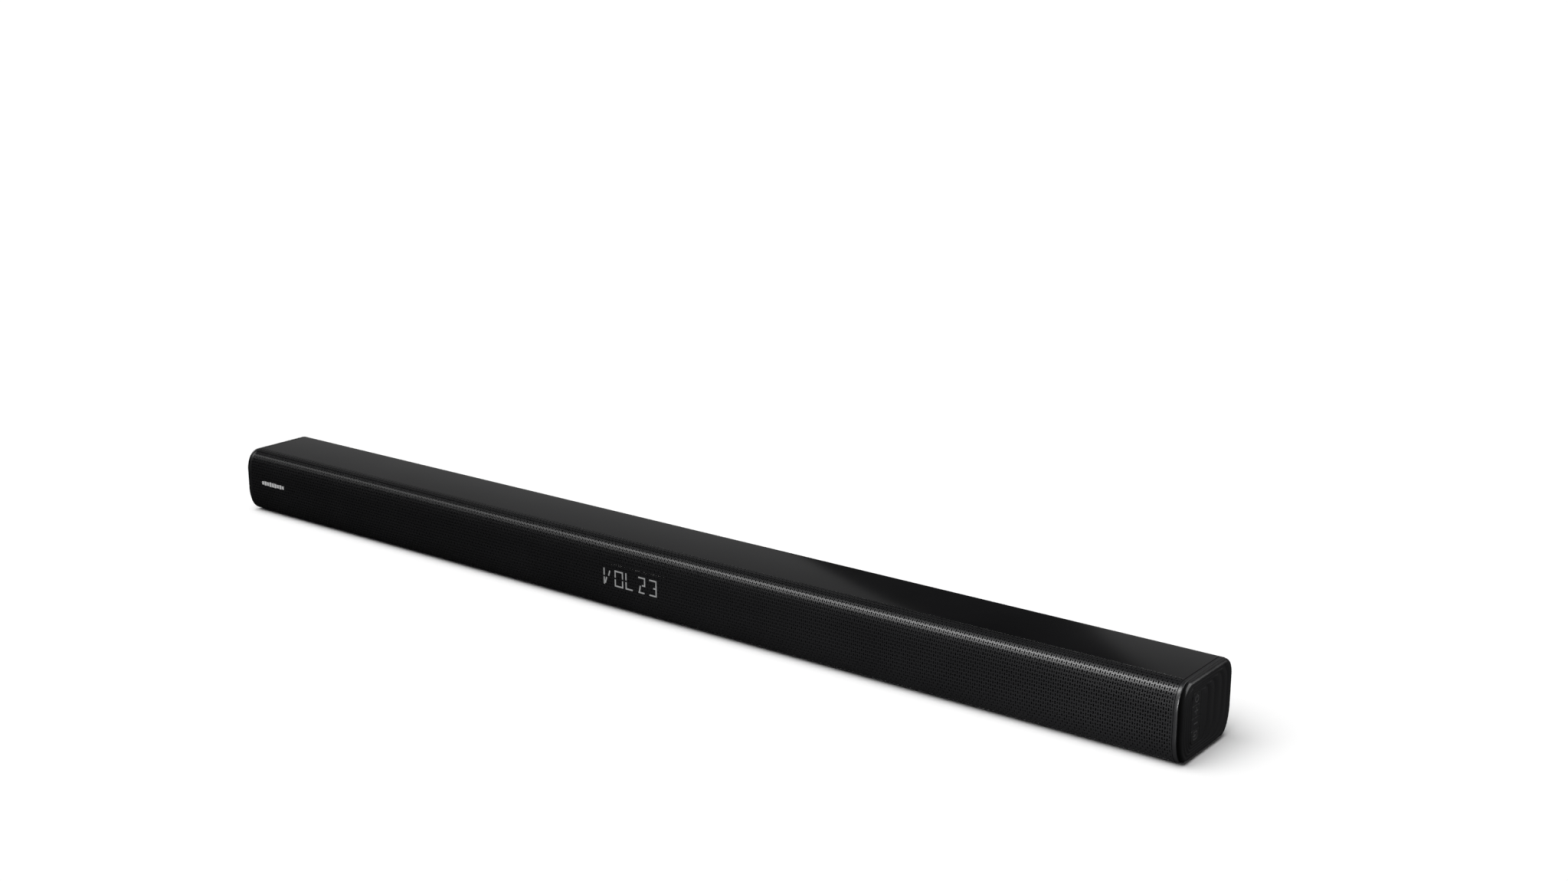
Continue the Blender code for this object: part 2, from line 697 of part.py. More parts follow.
# ---- electronics -----------------------------------------------------------------------

def make_boards():
    board_low = BOARD_TOP_Z - mm(1.6)
    box("main_board", (mm(-65.0), mm(-20.0), board_low), (mm(65.0), mm(20.5), BOARD_TOP_Z), circuit_board())
    power_low = FOOT_HEIGHT + mm(7.2)
    box("power_board", (mm(118.0), mm(-14.0), power_low), (mm(262.0), mm(17.0), power_low + mm(1.6)),
        circuit_board())
    winding_low = power_low + mm(1.6) + GAP
    box("transformer", (mm(140.0), mm(-11.0), winding_low), (mm(170.0), mm(14.0), winding_low + mm(24.0)),
        ferrite(), mm(1.5))
    box("wireless_module", (mm(-120.0), mm(-10.0), FOOT_HEIGHT + mm(4.0)),
        (mm(-90.0), mm(10.0), FOOT_HEIGHT + mm(6.6)), circuit_board())


def make_heat_sink():
    """Comb-shaped extrusion standing on the main board."""
    low = BOARD_TOP_Z + GAP
    base_top, fin_top = low + mm(2.5), low + mm(20.0)
    fins, pitch, fin = 7, mm(8.0), mm(1.8)
    start = -(fins - 1) * pitch / 2 - fin / 2
    outline = [(start + (fins - 1) * pitch + fin, low), (start, low)]
    for index in range(fins):
        left = start + index * pitch
        outline += [(left, fin_top), (left + fin, fin_top)]
        if index < fins - 1:
            outline += [(left + fin, base_top), (left + pitch, base_top)]
    outline_plate("heat_sink", [outline[::-1]], mm(-18.0), mm(6.0), "Y", aluminium())


def make_port_tray():
    """Recessed tray in the back wall; the sockets look out through its floor."""
    front = TRAY_FLOOR_Y - TRAY_WALL
    tray = box("port_tray", (-TRAY_HALF_WIDTH, front, TRAY_LOW_Z),
               (TRAY_HALF_WIDTH, DEPTH / 2 - GAP, TRAY_HIGH_Z), inner_plastic())
    inner = TRAY_HALF_WIDTH - TRAY_WALL
    cut(tray, tool_box((-inner, TRAY_FLOOR_Y, TRAY_LOW_Z + TRAY_WALL),
                       (inner, DEPTH / 2 + WALL, TRAY_HIGH_Z - TRAY_WALL)))
    for x, width, height in SOCKETS.values():
        bottom = BOARD_TOP_Z + GAP
        cut(tray, tool_box((x - width / 2 - GAP, front - WALL, bottom - GAP),
                           (x + width / 2 + GAP, TRAY_FLOOR_Y + WALL, bottom + height + GAP)))


SOCKETS = {                       # middle X, width, height; all stand on the main board
    "hdmi_socket": mm(-40.0, 15.6, 6.4),
    "optical_socket": mm(-12.0, 9.6, 9.4),
    "usb_socket": mm(14.0, 14.6, 7.4),
    "aux_socket": mm(40.0, 9.0, 9.0),
}
SOCKET_BACK_Y = mm(11.0)


def socket_block(name, finish_material):
    x, width, height = SOCKETS[name]
    bottom = BOARD_TOP_Z + GAP
    low = (x - width / 2, SOCKET_BACK_Y, bottom)
    return box(name, low, (x + width / 2, TRAY_FLOOR_Y, bottom + height), finish_material)


def socket_middle_z(name):
    return BOARD_TOP_Z + GAP + SOCKETS[name][2] / 2


def make_blade_socket(name, mouth, tongue):
    """A metal socket with a rectangular mouth and a contact tongue inside."""
    socket = socket_block(name, plated_steel())
    x, z = SOCKETS[name][0], socket_middle_z(name)
    mouth_width, mouth_height = mouth
    tongue_width, tongue_height = tongue
    floor_y = SOCKET_BACK_Y + mm(1.5)
    cut(socket, tool_box((x - mouth_width / 2, floor_y, z - mouth_height / 2),
                         (x + mouth_width / 2, TRAY_FLOOR_Y + WALL, z + mouth_height / 2)))
    fuse(socket, tool_box((x - tongue_width / 2, floor_y - mm(0.5), z - tongue_height / 2),
                          (x + tongue_width / 2, TRAY_FLOOR_Y - mm(1.2), z + tongue_height / 2)))


def make_sockets():
    make_blade_socket("hdmi_socket", mm(14.2, 4.8), mm(11.4, 1.0))
    make_blade_socket("usb_socket", mm(13.0, 5.6), mm(11.6, 1.9))

    optical = socket_block("optical_socket", inner_plastic())
    x, z = SOCKETS["optical_socket"][0], socket_middle_z("optical_socket")
    cut(optical, tool_box((x - mm(2.9), TRAY_FLOOR_Y - mm(8.0), z - mm(2.9)),
                          (x + mm(2.9), TRAY_FLOOR_Y + WALL, z + mm(2.9))))

    jack = socket_block("aux_socket", inner_plastic())
    x, z = SOCKETS["aux_socket"][0], socket_middle_z("aux_socket")
    cut(jack, tool_cylinder((x, TRAY_FLOOR_Y, z), mm(1.8), mm(22.0), "Y"))


def make_power_inlet():
    """Two-pin appliance inlet: a block with a stadium-shaped recess and two pins."""
    inlet = box("power_inlet", (INLET_X - mm(13.0), mm(19.5), INLET_Z - mm(8.0)),
                (INLET_X + mm(13.0), DEPTH / 2 - GAP, INLET_Z + mm(8.0)), inner_plastic())
    floor_y, mouth_y = mm(23.4), DEPTH / 2 + WALL
    round_radius, round_reach = mm(4.3), mm(4.3)
    recess = []
    for side, start in ((1, -90), (-1, 90)):
        for step in range(9):
            angle = radians(start + 180.0 * step / 8)
            recess.append((INLET_X + side * round_reach + round_radius * cos(angle),
                           INLET_Z + round_radius * sin(angle)))
    cut(inlet, tool_plate([recess], floor_y, mouth_y, "Y"))
    for side in (-1, 1):
        middle = (INLET_X + side * round_reach, floor_y + mm(4.5), INLET_Z)
        fuse(inlet, tool_cylinder(middle, mm(1.15), mm(10.0), "Y", 12))


# ---- wall brackets, feet, screws, cables --------------------------------------------------

def make_wall_bracket(name, x):
    """Steel keyhole plate set into the back wall: a round hole for a screw head, a slot above it."""
    hole_radius, slot_half, slot_rise = mm(4.0), mm(2.25), mm(7.6)
    keyhole = []
    for step in range(13):
        angle = radians(125.0 + 290.0 * step / 12)
        keyhole.append((x + hole_radius * cos(angle), KEYHOLE_Z + hole_radius * sin(angle)))
    for step in range(7):
        angle = radians(180.0 * step / 6)
        keyhole.append((x + slot_half * cos(angle), KEYHOLE_Z + slot_rise + slot_half * sin(angle)))
    left, right = x - BRACKET_HALF_WIDTH, x + BRACKET_HALF_WIDTH
    edge = [(left, BRACKET_LOW_Z), (right, BRACKET_LOW_Z), (right, BRACKET_HIGH_Z), (left, BRACKET_HIGH_Z)]
    outline_plate(name, [edge, keyhole], DEPTH / 2 - BRACKET_SHEET, DEPTH / 2, "Y", plated_steel())


def make_feet():
    for name, (x, y) in FOOT_PLACES.items():
        height = FOOT_HEIGHT + FOOT_POCKET - GAP
        foot = cylinder(name, (x, y, height / 2), FOOT_RADIUS, height, "Z", rubber(), 24)
        foot.data.shade_smooth()
        foot.data.set_sharp_from_angle(angle=radians(40))


def make_screws():
    """Pan-head screws from below, through the case's floor into the baffle's bosses."""
    head_low, head_high = FOOT_HEIGHT + GAP, FOOT_HEIGHT + SCREW_POCKET - GAP
    tip = BAFFLE_LOW_Z + BOSS_HEIGHT - mm(1.0)
    for name, x in SCREW_X.items():
        middle = (x, SCREW_Y, (head_low + head_high) / 2)
        screw = cylinder(name, middle, SCREW_HEAD_RADIUS, head_high - head_low, "Z", plated_steel())
        shank_low = (head_low + head_high) / 2
        shank_middle = (x, SCREW_Y, (shank_low + tip) / 2)
        fuse(screw, tool_cylinder(shank_middle, SCREW_RADIUS, tip - shank_low, "Z", 12))


def make_speaker_cable(name, side):
    """A round cable from the main board down to the floor of the case and along to a driver."""
    lift, run = BOARD_TOP_Z + mm(2.0), FOOT_HEIGHT + mm(5.5)
    route = [
        (*mm(58.0, -8.0), lift), (*mm(66.0, -8.0), lift), (*mm(71.0, -8.5), lift - mm(3.0)),
        (*mm(74.0, -10.0), lift - mm(12.0)), (*mm(80.0, -14.0), run + mm(2.0)), (*mm(90.0, -14.0), run),
        (*mm(330.0, -14.0), run), (*mm(341.0, -14.0), run + mm(2.0)), (*mm(348.0, -15.0), run + mm(7.0)),
        (*mm(352.0, -16.0), run + mm(12.0)),
    ]
    points = [(side * x, y, z) for x, y, z in route]
    data = bpy.data.curves.new(name, "CURVE")
    data.dimensions = "3D"
    data.bevel_depth = mm(1.1)
    data.bevel_resolution = 2
    data.use_fill_caps = True
    spline = data.splines.new("POLY")
    spline.points.add(len(points) - 1)
    for point, place in zip(spline.points, points):
        point.co = (*place, 1.0)
    cable = bpy.data.objects.new(name, data)
    bpy.context.scene.collection.objects.link(cable)
    finish(cable, name, cable_sleeve())


# ---- assembly --------------------------------------------------------------------------

clear_scene()
PARTS = new_collection("soundbar")
CUTTERS = new_collection("cutters")
CUTTERS.hide_render = True

make_grille()
make_badge()
make_top_cover()
make_bottom_case()
make_front_baffle()
make_end_cap("end_cap_left", -1)
make_end_cap("end_cap_right", 1)
make_end_plate("end_plate_left", -1)
make_end_plate("end_plate_right", 1)
make_keys()
make_button_board()
make_display()
make_driver("left", -DRIVER_X)
make_driver("right", DRIVER_X)
make_boards()
make_heat_sink()
make_port_tray()
make_sockets()
make_power_inlet()
make_wall_bracket("wall_bracket_left", -BRACKET_X)
make_wall_bracket("wall_bracket_right", BRACKET_X)
make_feet()
make_screws()
make_speaker_cable("left_speaker_cable", -1)
make_speaker_cable("right_speaker_cable", 1)
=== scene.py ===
from math import cos, pi, radians, sin

import bpy
import numpy as np
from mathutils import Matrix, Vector


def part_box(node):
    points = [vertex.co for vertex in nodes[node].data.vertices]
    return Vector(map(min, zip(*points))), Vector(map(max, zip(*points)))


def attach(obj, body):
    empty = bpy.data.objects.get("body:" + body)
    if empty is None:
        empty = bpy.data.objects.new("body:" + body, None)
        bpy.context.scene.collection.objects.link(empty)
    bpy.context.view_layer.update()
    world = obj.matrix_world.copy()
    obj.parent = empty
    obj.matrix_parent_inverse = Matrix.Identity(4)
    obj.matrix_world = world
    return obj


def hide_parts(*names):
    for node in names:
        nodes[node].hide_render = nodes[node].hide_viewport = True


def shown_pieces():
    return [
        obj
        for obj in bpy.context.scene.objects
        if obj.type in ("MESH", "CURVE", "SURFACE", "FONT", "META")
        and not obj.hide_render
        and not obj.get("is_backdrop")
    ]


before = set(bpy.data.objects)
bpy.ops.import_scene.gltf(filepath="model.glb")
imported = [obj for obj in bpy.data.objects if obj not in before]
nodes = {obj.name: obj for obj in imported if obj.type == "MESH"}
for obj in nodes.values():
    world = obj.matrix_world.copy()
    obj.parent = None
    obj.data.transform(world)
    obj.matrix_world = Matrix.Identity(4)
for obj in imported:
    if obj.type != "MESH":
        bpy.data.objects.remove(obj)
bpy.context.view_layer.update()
print("frame: %d CAD nodes" % len(nodes))

# Lengths below are millimetres; buildMesh turns them into metres.


def linear(hexColour):
    # sRGB hex to linear RGBA: the sRGB curve undone channel by channel
    values = [int(hexColour[i:i + 2], 16) / 255 for i in (1, 3, 5)]
    return tuple(v / 12.92 if v <= 0.04045 else ((v + 0.055) / 1.055) ** 2.4 for v in values) + (1.0,)


def buildMesh(name, points, faceSets, smoothAngle=35.0):
    # puts arrays of points and of equal-sided faces into a mesh; the sign of the enclosed volume, the sum of
    # first . (second x third) over its triangles, says whether the faces have to be turned outwards
    faceSets = [np.atleast_2d(np.asarray(f, int)) for f in faceSets if len(f)]
    points = np.asarray(points, float)
    volume = 0.0
    for faces in faceSets:
        first = points[faces[:, 0]]
        for k in range(1, faces.shape[1] - 1):
            volume += np.einsum("ij,ij->", first, np.cross(points[faces[:, k]], points[faces[:, k + 1]]))
    if volume < 0:
        faceSets = [f[:, ::-1] for f in faceSets]
    sizes = np.concatenate([np.full(len(f), f.shape[1]) for f in faceSets])
    corners = np.concatenate([f.ravel() for f in faceSets])
    mesh = bpy.data.meshes.new(name)
    mesh.vertices.add(len(points))
    mesh.vertices.foreach_set("co", (points / 1000).ravel().astype(np.float32))
    mesh.loops.add(len(corners))
    mesh.loops.foreach_set("vertex_index", corners.astype(np.int32))
    mesh.polygons.add(len(sizes))
    mesh.polygons.foreach_set("loop_start", (np.cumsum(sizes) - sizes).astype(np.int32))
    mesh.polygons.foreach_set("use_smooth", np.ones(len(sizes), bool))
    mesh.update(calc_edges=True)
    mesh.validate()
    mesh.set_sharp_from_angle(angle=radians(smoothAngle))
    obj = bpy.data.objects.new(name, mesh)
    bpy.context.scene.collection.objects.link(obj)
    return obj


def place(obj, body, material, replaces=()):
    obj.data.materials.clear()
    obj.data.materials.append(material)
    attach(obj, body)
    if replaces:
        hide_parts(*replaces)
    return obj


def joinParts(parts):
    # several (points, faceSets) pairs as one, their indices shifted along
    points, faceSets, start = [], [], 0
    for somePoints, someSets in parts:
        points.append(somePoints)
        faceSets += [np.atleast_2d(np.asarray(f, int)) + start for f in someSets if len(f)]
        start += len(somePoints)
    return np.concatenate(points), faceSets


def ringFaces(ringCount, perRing, closed):
    # quads between neighbouring rings of perRing points; closed joins the last ring to the first
    last = ringCount if closed else ringCount - 1
    r, n = np.meshgrid(np.arange(last), np.arange(perRing), indexing="ij")
    nextRing, nextPoint = (r + 1) % ringCount, (n + 1) % perRing
    quads = [r * perRing + n, r * perRing + nextPoint, nextRing * perRing + nextPoint, nextRing * perRing + n]
    return np.stack(quads, -1).reshape(-1, 4)


def loft(rings, closed=False):
    # a skin through closed loops of equally many points; open ends are capped flat
    rings = np.asarray(rings, float)
    count, perRing = rings.shape[:2]
    faceSets = [ringFaces(count, perRing, closed)]
    if not closed:
        faceSets += [np.arange(perRing)[None, ::-1], (np.arange(perRing) + (count - 1) * perRing)[None]]
    return rings.reshape(-1, 3), faceSets


# the bar's outline, seen along its length: a rectangle whose corners are quarter ellipses
barOutline = {
    "halfDepth": 37.7, "top": 58.0, "bottom": 1.9, "leastRadius": 0.02,
    "reach": {
        "backBottom": (12.4, 21.2), "backTop": (11.1, 13.6),
        "frontTop": (12.8, 18.7), "frontBottom": (9.8, 20.6),
    },
}
# each corner's side in Y and in Z, and the angle at which its arc starts
cornerTurns = {
    "backBottom": (1, -1, -90), "backTop": (1, 1, 0), "frontTop": (-1, 1, 90), "frontBottom": (-1, -1, 180),
}


def cornerArc(sides, corner, reach, inset=0.0, steps=16):
    # a quarter ellipse between two sides of a (front, back, bottom, top) rectangle: middle + radii times
    # the angle's cosine and sine; inset shrinks both radii
    front, back, bottom, top = sides
    signY, signZ, start = cornerTurns[corner]
    angle = np.radians(start + np.linspace(0, 90, steps + 1))
    middleY = back - reach[0] if signY > 0 else front + reach[0]
    middleZ = top - reach[1] if signZ > 0 else bottom + reach[1]
    least = barOutline["leastRadius"]
    y = middleY + max(reach[0] - inset, least) * np.cos(angle)
    z = middleZ + max(reach[1] - inset, least) * np.sin(angle)
    return np.stack([y, z], -1)


def wholeOutline(inset=0.0, steps=16, sides=None, reach=None):
    # the closed outline, anticlockwise as seen from the right end
    half = barOutline["halfDepth"]
    sides = sides or (-half, half, barOutline["bottom"], barOutline["top"])
    reach = reach or barOutline["reach"]
    return np.concatenate([cornerArc(sides, c, reach[c], inset, steps) for c in cornerTurns])


def ringAt(x, outline):
    # the outline's (Y, Z) points set at one X
    return np.column_stack([np.full(len(outline), x), outline])


def settle(obj, pieceName):
    # turns a piece's modifiers into its mesh
    bpy.context.view_layer.update()
    graph = bpy.context.evaluated_depsgraph_get()
    made = bpy.data.meshes.new_from_object(obj.evaluated_get(graph))
    obj.modifiers.clear()
    obj.data = made
    made.name = pieceName
    return made


def tidyCopy(nodeName, pieceName, angle=32.0):
    # a welded copy of a CAD node, shaded smooth up to an angle
    obj = bpy.data.objects.new(pieceName, nodes[nodeName].data.copy())
    bpy.context.scene.collection.objects.link(obj)
    obj.modifiers.new("weld", "WELD").merge_threshold = 1e-6
    made = settle(obj, pieceName)
    made.polygons.foreach_set("use_smooth", np.ones(len(made.polygons), bool))
    made.set_sharp_from_angle(angle=radians(angle))
    # large flat faces keep their own direction where they meet a curve
    obj.modifiers.new("even shading", "WEIGHTED_NORMAL").keep_sharp = True
    settle(obj, pieceName)
    return obj


# the span of each noise texture that is stretched over the whole change of colour, or of roughness
driftSpan = (0.35, 0.65)
grainSpan = (0.3, 0.7)


def addNode(tree, kind, sockets=None, **settings):
    # a node with its settings; a socket given another node's output is linked, and any other value is set
    node = tree.nodes.new(kind)
    for key, value in settings.items():
        setattr(node, key, value)
    for key, value in (sockets or {}).items():
        if isinstance(value, bpy.types.NodeSocket):
            tree.links.new(value, node.inputs[key])
        else:
            node.inputs[key].default_value = value
    return node


def finishMaterial(name, colour, roughness, colour2, patchMm=60.0, spread=0.05, grainMm=0.5, depthMm=0.01,
                   stretch=(1, 1, 1), **sockets):
    # a surface whose colour drifts over patchMm, with a grain of grainMm that moves its roughness by spread
    # and stands depthMm high
    material = bpy.data.materials.new(name)
    material.use_nodes = True
    tree = material.node_tree
    shader = tree.nodes["Principled BSDF"]
    material.diffuse_color = linear(colour)
    where = addNode(tree, "ShaderNodeTexCoord").outputs["Object"]
    stretched = addNode(tree, "ShaderNodeMapping", {"Vector": where, "Scale": stretch}).outputs["Vector"]
    drift = addNode(tree, "ShaderNodeTexNoise", {"Vector": where, "Scale": 1000 / patchMm, "Detail": 3.0})
    grain = addNode(tree, "ShaderNodeTexNoise", {"Vector": stretched, "Scale": 1000 / grainMm, "Detail": 2.0})
    tone = addNode(tree, "ShaderNodeMapRange", {
        "Value": drift.outputs["Fac"], "From Min": driftSpan[0], "From Max": driftSpan[1]})
    mixed = addNode(tree, "ShaderNodeMix", {"Factor": tone.outputs["Result"]}, data_type="RGBA")
    colourSockets = [s for s in mixed.inputs if s.type == "RGBA"]
    colourSockets[0].default_value = linear(colour)
    colourSockets[1].default_value = linear(colour2)
    colourOut = next(s for s in mixed.outputs if s.type == "RGBA")
    tree.links.new(colourOut, shader.inputs["Base Color"])
    rough = addNode(tree, "ShaderNodeMapRange", {
        "Value": grain.outputs["Fac"], "From Min": grainSpan[0], "From Max": grainSpan[1],
        "To Min": max(roughness - spread, 0.02), "To Max": roughness + spread})
    tree.links.new(rough.outputs["Result"], shader.inputs["Roughness"])
    bump = addNode(tree, "ShaderNodeBump", {
        "Height": grain.outputs["Fac"], "Strength": 1.0, "Distance": depthMm / 1000})
    tree.links.new(bump.outputs["Normal"], shader.inputs["Normal"])
    for key, value in sockets.items():
        shader.inputs[key.replace("_", " ")].default_value = value
    return material


# black polyester powder coat on steel: satin, with a faint orange peel about a millimetre across
powderCoat = finishMaterial("powder coated steel", "#131314", 0.30, "#161617", grainMm=1.1, depthMm=0.004,
                            Specular_IOR_Level=0.38)
# moulded ABS with a very fine spark texture: it mirrors broad lights with soft edges
satinAbs = finishMaterial("spark textured ABS", "#0b0b0c", 0.15, "#0e0e0f", spread=0.02, grainMm=0.45,
                          depthMm=0.003)
# the bottom case carries a coarser spark texture, so its back looks flatter and a shade greyer
caseAbs = finishMaterial("coarse spark ABS", "#1b1b1c", 0.42, "#1f1f20", spread=0.05, grainMm=0.7,
                         depthMm=0.012)
# the end cap is the same ABS from a duller tool, so its edge catches a broad light
trimAbs = finishMaterial("satin moulded ABS", "#131314", 0.34, "#161617", grainMm=0.35, depthMm=0.003)
# gloss black ABS from a polished tool, with slow mould waviness
glossAbs = finishMaterial("high gloss ABS", "#232324", 0.24, "#262627", spread=0.03, grainMm=9.0,
                          depthMm=0.01)
# the keys come from the same gloss ABS, a little duller from touching
keyAbs = finishMaterial("gloss key ABS", "#252526", 0.28, "#272728", spread=0.05, grainMm=2.0, depthMm=0.004)
# grey pad printing ink, matte
printInk = finishMaterial("grey pad printing ink", "#464647", 0.6, "#4c4c4d", grainMm=0.3, depthMm=0.002)
# black moulded ABS inside the case, matte from a coarse tool
innerAbs = finishMaterial("matte black ABS", "#0b0b0b", 0.7, "#101010", spread=0.08, grainMm=0.8,
                          depthMm=0.02)
# silver paint over raised bars: bright from every side, with faint hairlines along the badge
silverPaint = finishMaterial("silver metallic paint", "#e4e4e4", 0.4, "#dcdcdc", spread=0.08, grainMm=0.25,
                             depthMm=0.004, stretch=(0.08, 1, 1), Metallic=0.15)
# the badge's plate, anodised and dyed black
blackAnodised = finishMaterial("black anodised aluminium", "#0c0c0d", 0.42, "#101011", grainMm=0.4,
                               depthMm=0.004)
# dark smoked acrylic with a polished face
smokedAcrylic = finishMaterial("smoked acrylic", "#050506", 0.1, "#070708", spread=0.02, grainMm=6.0,
                               depthMm=0.004)
# moulded white light box behind the display
displayAbs = finishMaterial("white reflector ABS", "#d0d0cc", 0.5, "#c6c6c1", grainMm=0.8, depthMm=0.01)
# glass-epoxy board under green solder mask, with a fine grain for the weave below
boardMask = finishMaterial("green solder mask", "#0f4426", 0.3, "#0b3a20", patchMm=8.0, grainMm=0.6,
                           depthMm=0.006)
# extruded aluminium profile, with faint lines that run up its fins
heatSinkAluminium = finishMaterial("extruded aluminium", "#b4b6b8", 0.4, "#a6a8ab", grainMm=0.3,
                                   depthMm=0.004, stretch=(1, 1, 0.05), Metallic=1.0)
# pressed and fired ceramic, dull and slightly mottled
ferrite = finishMaterial("sintered ferrite", "#2e2d2d", 0.7, "#3a3838", patchMm=12.0, grainMm=0.5,
                         depthMm=0.03)
# bright zinc on stamped steel, cloudy in patches
zincPlate = finishMaterial("zinc plated steel", "#c5c7c9", 0.34, "#b3b6ba", patchMm=10.0, grainMm=0.4,
                           depthMm=0.004, Metallic=1.0)
# stamped steel with a thin black paint
paintedSteel = finishMaterial("black painted steel", "#161617", 0.38, "#1a1a1b", grainMm=0.9, depthMm=0.006)
# moulded rubber feet and gaskets, and the softer rubber of the surrounds
footRubber = finishMaterial("black silicone rubber", "#121212", 0.75, "#191919", grainMm=0.4, depthMm=0.01)
surroundRubber = finishMaterial("butyl rubber", "#0c0c0c", 0.55, "#121212", grainMm=0.5, depthMm=0.008)
# pulp cone, with a fine relief for its fibres
paperCone = finishMaterial("pressed paper pulp", "#191817", 0.85, "#221f1d", patchMm=9.0, grainMm=0.7,
                           depthMm=0.06)
# the voice coil's former
coilAluminium = finishMaterial("drawn aluminium tube", "#c3c5c8", 0.3, "#b5b7ba", grainMm=0.3, depthMm=0.003,
                               Metallic=1.0)
# amber cotton stiffened with resin, with a half-millimetre grain for its weave
spiderCloth = finishMaterial("phenolic treated cotton", "#a5762f", 0.85, "#8f6427", patchMm=6.0, grainMm=0.5,
                             depthMm=0.05)
# soft extruded sleeve of the speaker leads
cableSleeve = finishMaterial("red and black PVC sleeve", "#4a1212", 0.45, "#3c0e0e", grainMm=0.8,
                             depthMm=0.005)
print("finishes: %d" % len(bpy.data.materials))


# lit display segment: warm white light seen through the sheet
def litSegmentMaterial():
    material = bpy.data.materials.new("lit display segment")
    material.use_nodes = True
    tree = material.node_tree
    shader = tree.nodes["Principled BSDF"]
    where = addNode(tree, "ShaderNodeTexCoord").outputs["Object"]
    glow = addNode(tree, "ShaderNodeTexNoise", {"Vector": where, "Scale": 1000 / 2.2, "Detail": 1.0})
    tint = addNode(tree, "ShaderNodeValToRGB", {"Fac": glow.outputs["Fac"]})
    tint.color_ramp.elements[0].position = 0.3
    tint.color_ramp.elements[0].color = linear("#7b7c7c")
    tint.color_ramp.elements[1].position = 0.7
    tint.color_ramp.elements[1].color = linear("#919292")
    tree.links.new(tint.outputs["Color"], shader.inputs["Emission Color"])
    shader.inputs["Emission Strength"].default_value = 1.0
    shader.inputs["Base Color"].default_value = linear("#1c1c1c")
    shader.inputs["Roughness"].default_value = 0.6
    return material


litSegment = litSegmentMaterial()

# Perforated sheet wrapped from the top seam round the front to the bottom seam. Slots and round holes
# alternate like the fields of a chessboard.
grille = {
    "columns": 517, "columnPitch": 1.81, "rows": 27, "rowPitch": 2.65, "pieces": 6,
    "slotLength": 2.38, "slotWidth": 1.12, "holeDiameter": 1.2, "sheet": 0.8,
    "end": 468.3, "topSeam": -22.9, "bottomSeam": -23.9,
    "badge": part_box("front_badge"), "badgeDepth": 0.4, "badgeMargin": 0.3, "flatFront": -37.0,
}


def grilleLine():
    # (Y, Z, outward normal) of the sheet's section against arc length, from the top seam down to the bottom
    # seam
    half = barOutline["halfDepth"]
    sides = (-half, half, barOutline["bottom"], barOutline["top"])
    arcs = [cornerArc(sides, c, barOutline["reach"][c], 0.0, 200) for c in ("frontTop", "frontBottom")]
    turns = []
    for corner, start in (("frontTop", 90), ("frontBottom", 180)):
        angle = np.radians(start + np.linspace(0, 90, 201))
        reachY, reachZ = barOutline["reach"][corner]
        normal = np.stack([np.cos(angle) / reachY, np.sin(angle) / reachZ], -1)
        turns.append(normal / np.linalg.norm(normal, axis=1)[:, None])
    points = np.concatenate([[[grille["topSeam"], barOutline["top"]]], arcs[0], arcs[1],
                             [[grille["bottomSeam"], barOutline["bottom"]]]])
    normals = np.concatenate([[[0.0, 1.0]], turns[0], turns[1], [[0.0, -1.0]]])
    steps = np.linalg.norm(np.diff(points, axis=0), axis=1)
    return np.concatenate([[0], np.cumsum(steps)]), points, normals


grilleArc, grillePoints, grilleNormals = grilleLine()


def onGrille(x, s, inset):
    # flat sheet coordinates (x along the bar, s down the section) to space, inset along the inward normal
    y, z = (np.interp(s, grilleArc, grillePoints[:, k]) for k in (0, 1))
    ny, nz = (np.interp(s, grilleArc, grilleNormals[:, k]) for k in (0, 1))
    return np.stack([x, y - inset * ny, z - inset * nz], -1)


# eight points round a field and twelve round its opening, both anticlockwise from the right
fieldRim = np.array([(1, 0), (1, 1), (0, 1), (-1, 1), (-1, 0), (-1, -1), (0, -1), (1, -1)])


def openingRim(halfWidth, halfLength):
    # twelve points of a slot with round ends; equal halves make a circle
    straight = halfLength - halfWidth
    angle = np.radians([0, 30, 60, 90, 120, 150, 180, 210, 240, 270, 300, 330])
    side = np.sign(np.round(np.sin(angle), 6))
    return np.stack([halfWidth * np.cos(angle), halfWidth * np.sin(angle) + straight * side], -1)


